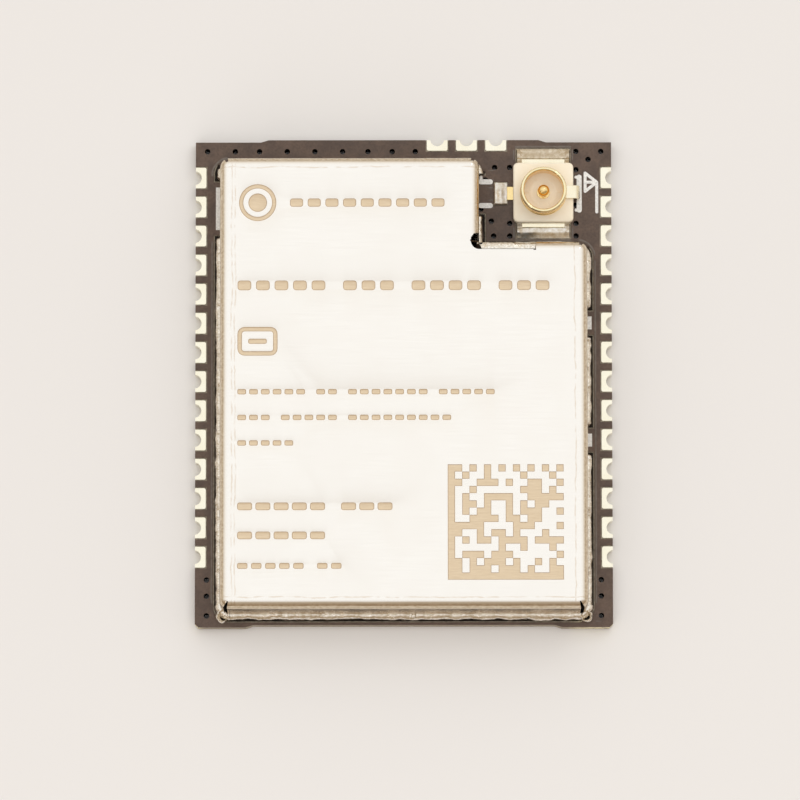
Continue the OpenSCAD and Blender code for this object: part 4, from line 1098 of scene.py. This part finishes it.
def build_body():
    """Moulded body: low moulding lines on the floor inside the barrel, rounded edges outside."""
    b = Form()
    rows = []
    for r in [0.0005] + [0.05 * k for k in range(1, 20)]:
        row = []
        for k in range(BODY_POINTS):
            a = 2 * math.pi * k / BODY_POINTS
            x, y = r * math.cos(a), r * math.sin(a)
            ring = math.exp(-((r - MOULD_R) / 0.03) ** 2) if abs(x) > 0.25 else 0
            seam = math.exp(-(y / 0.03) ** 2) if r > MOULD_R else 0
            row.append((AX + x, AY + y, BODY_TOP + 0.034 * ring + 0.026 * seam))
        rows.append(row)
    rows += [square_ring(inset_by, BODY_TOP - drop) for inset_by, drop in BODY_EDGE]
    b.grid(rows, closed=True)
    b.piece("receptacle_body", [INSULATOR], ("coax_insulator",), sharp=50)


# ---- relief of the mask
# Distance from the can to the raised edge of the mask round its track
TRACK_OUT = 0.38
# Rounded section of a ridge, as shares of half its width
RIDGE_SECTION = (-0.999, -0.7, -0.35, 0, 0.35, 0.7, 0.999)
# Section of a patch round a corner: (distance from the corner's middle, depth below the board's top)
PATCH_SECTION = ((0.41, 0.06), (0.43, 0.006), (0.55, 0.0), (0.70, 0.002), (0.76, 0.0), (0.80, 0.03))
PATCH_STEPS = 11


def ridge(b, path, width=0.10, height=0.010):
    """A low rounded ridge in the mask along a path, dying out at both ends."""
    rows = []
    last = len(path) - 1
    for k, (x, y) in enumerate(path):
        x0, y0 = path[max(k - 1, 0)]
        x2, y2 = path[min(k + 1, last)]
        q = math.hypot(x2 - x0, y2 - y0) or 1
        nx, ny = -(y2 - y0) / q, (x2 - x0) / q
        half = width * (1 + 0.3 * rough(x, y, 4, 1.4, 2)) / 2
        rise = height * ease(min(k, last - k) / 3) + 0.001
        rows.append([(x + nx * half * s, y + ny * half * s,
                      BOARD_TOP - 0.003 + rise * math.cos(math.pi / 2 * s) ** 0.8) for s in RIDGE_SECTION])
    b.grid(rows)


def corner_patch(b, x, y, a0, a1):
    """A strip of solder mask round a corner of the can, with its ends let into the board."""
    rows = []
    for k in range(PATCH_STEPS + 1):
        a = math.radians(a0 + (a1 - a0) * k / PATCH_STEPS)
        sunk = 0.05 * (1 - min(1, k / 2, (PATCH_STEPS - k) / 2))
        rows.append([(x + r * math.cos(a), y + r * math.sin(a), BOARD_TOP - depth - sunk)
                     for r, depth in PATCH_SECTION])
    b.grid(rows if a1 > a0 else rows[::-1])


def build_mask_relief():
    """Raised edges of the mask over the copper round the can and the receptacle, lighter than the mask as
    a painted highlight.
    """
    b = Form()
    out = BEND + TRACK_OUT
    ridge(b, [(IX0 - out * math.cos(math.radians(a)), IY1 + (out - 0.06) * math.sin(math.radians(a)))
              for a in range(-10, 95, 7)], 0.12, 0.014)
    ridge(b, line(CX0 - TRACK_OUT, CY1 - 3.2, CX0 - TRACK_OUT, IY0), 0.09)
    ridge(b, line(CX1 + TRACK_OUT, BAY_Y - BEND, CX1 + TRACK_OUT, IY0), 0.09)
    ridge(b, arc(IX1, BAY_Y - BEND, out, 0, 91, 13), 0.10)
    for side in (1, -1):
        y = AY + side * (BODY / 2 + BANK_OUT + 0.1)
        ridge(b, line(AX - 1.3, y, AX + 1.3, y), 0.10, 0.014)
        for x in (AX - 1.27, AX + 1.27):
            ridge(b, line(x, y, x, y - side * 0.7), 0.08)
    for y in (AY - 0.62, AY - 0.28, AY + 0.26, AY + 0.60, AY + 1.02):
        ridge(b, line(BAY_X + 0.3, y, AX - BODY / 2 - 0.70, y), 0.07, 0.009)
    ridge(b, line(-CX1 - 0.75, CY0 - 0.27, -CX1 - 0.35, CY0 - 0.27), 0.05, 0.008)
    ridge(b, line(CX1 + 0.2, CY0 - 0.27, CX1 + 0.75, CY0 - 0.27), 0.05, 0.008)
    b.piece("mask_relief", [MASK_RIDGE_HIGHLIGHT], (), sharp=60)


def build_mask_and_shade_patches():
    """Dark mask over the inner end of the signal pad, a painted shade beside the body, and mask round
    three corners of the can.
    """
    b = Form()
    edge = AX - BODY / 2
    # Painted shade: a mask-coloured patch covers the pad beside the body
    mound(b, edge - 0.235, edge + 0.25, AY - 0.53, AY + 0.53, 12, 24,
          lambda u, v, x, y: BOARD_TOP - 0.012 * (1 - ease(min(u, v * 2, (1 - v) * 2) / 0.12)),
          PAD_TOP - 0.02)
    corner_patch(b, IX0, IY1, 88, 145)
    corner_patch(b, BAY_X - BEND, IY1, 92, 4)
    corner_patch(b, IX1, BAY_Y - BEND, 92, 40)
    b.piece("mask_and_shade_patch", [MASK], (), sharp=60)


build_can()
build_can_solder()
build_tab_banks()
build_lead_lump()
build_barrel()
build_strap()
build_pin()
build_body()
build_mask_relief()
build_mask_and_shade_patches()

# The pads' rounded edges take the darker gold, a painted shade
for name in ("edge_pads_left", "edge_pads_right", "edge_pads_rear"):
    nodes[name].data.materials.append(PAD_RIM_SHADE)
    bevelled(nodes[name], 0.04, 60, 1, slot=1)


# ---- floor, world and lamps, in metres
FLOOR_HALF = 3.0


def make_floor():
    m, nt, b = new_material("floor_paper")
    cloud = noise(nt, coords(nt), 0.03, 2, 0.5)
    look(nt, b, mix(nt, cloud, (0.800, 0.800, 0.812), (0.812, 0.812, 0.824)), 0.9, specular=0.2)
    mesh = bpy.data.meshes.new("floor")
    s = FLOOR_HALF
    mesh.from_pydata([(-s, -s, 0), (s, -s, 0), (s, s, 0), (-s, s, 0)], [], [(0, 1, 2, 3)])
    mesh.materials.append(m)
    obj = bpy.data.objects.new("floor", mesh)
    scene.collection.objects.link(obj)


def make_world():
    """A bright ceiling over a warm dim room, which is darker on the side of the front edge."""
    world = bpy.data.worlds.new("studio")
    scene.world = world
    world.use_nodes = True
    nt = world.node_tree
    nt.nodes.clear()
    out = node(nt, "OutputWorld")
    background = node(nt, "Background")
    nt.links.new(background.outputs[0], out.inputs["Surface"])
    direction = separate(nt, node(nt, "TexCoord").outputs["Generated"])
    room = ramp(nt, direction["Z"], [
        (0.0, (0.62, 0.54, 0.44)),
        (0.30, (0.76, 0.68, 0.58)),
        (0.70, (0.93, 0.89, 0.83)),
        (0.93, (1.0, 0.99, 0.975)),
    ])
    front = ramp(nt, direction["Z"], [
        (0.0, (0.50, 0.41, 0.31)),
        (0.20, (0.40, 0.31, 0.22)),
        (0.80, (0.44, 0.345, 0.245)),
        (0.985, (1.0, 0.99, 0.975)),
    ])
    nt.links.new(mix(nt, remap(nt, direction["Y"], 0.05, -0.30), room, front), background.inputs["Color"])


def area_lamp(name, place, size, energy, glossy):
    """A square lamp aimed at the object. glossy says whether metal reflects it."""
    data = bpy.data.lights.new(name, "AREA")
    data.shape = "RECTANGLE"
    data.size = size
    data.size_y = size
    data.energy = energy
    data.color = (1.0, 0.985, 0.96)
    obj = bpy.data.objects.new(name, data)
    obj.location = place
    obj.rotation_euler = (-Vector(place)).to_track_quat("-Z", "Y").to_euler()
    obj.visible_glossy = glossy
    scene.collection.objects.link(obj)


make_floor()
make_world()
area_lamp("softbox", (0.10, 0.17, 0.58), 0.5, 0.69, False)
area_lamp("fill", (-0.03, -0.36, 0.40), 0.6, 0.84, False)
area_lamp("sparkle_rear", (0.20, 0.30, 0.40), 0.07, 0.05, True)
area_lamp("sparkle_front", (-0.26, -0.26, 0.36), 0.07, 0.05, True)
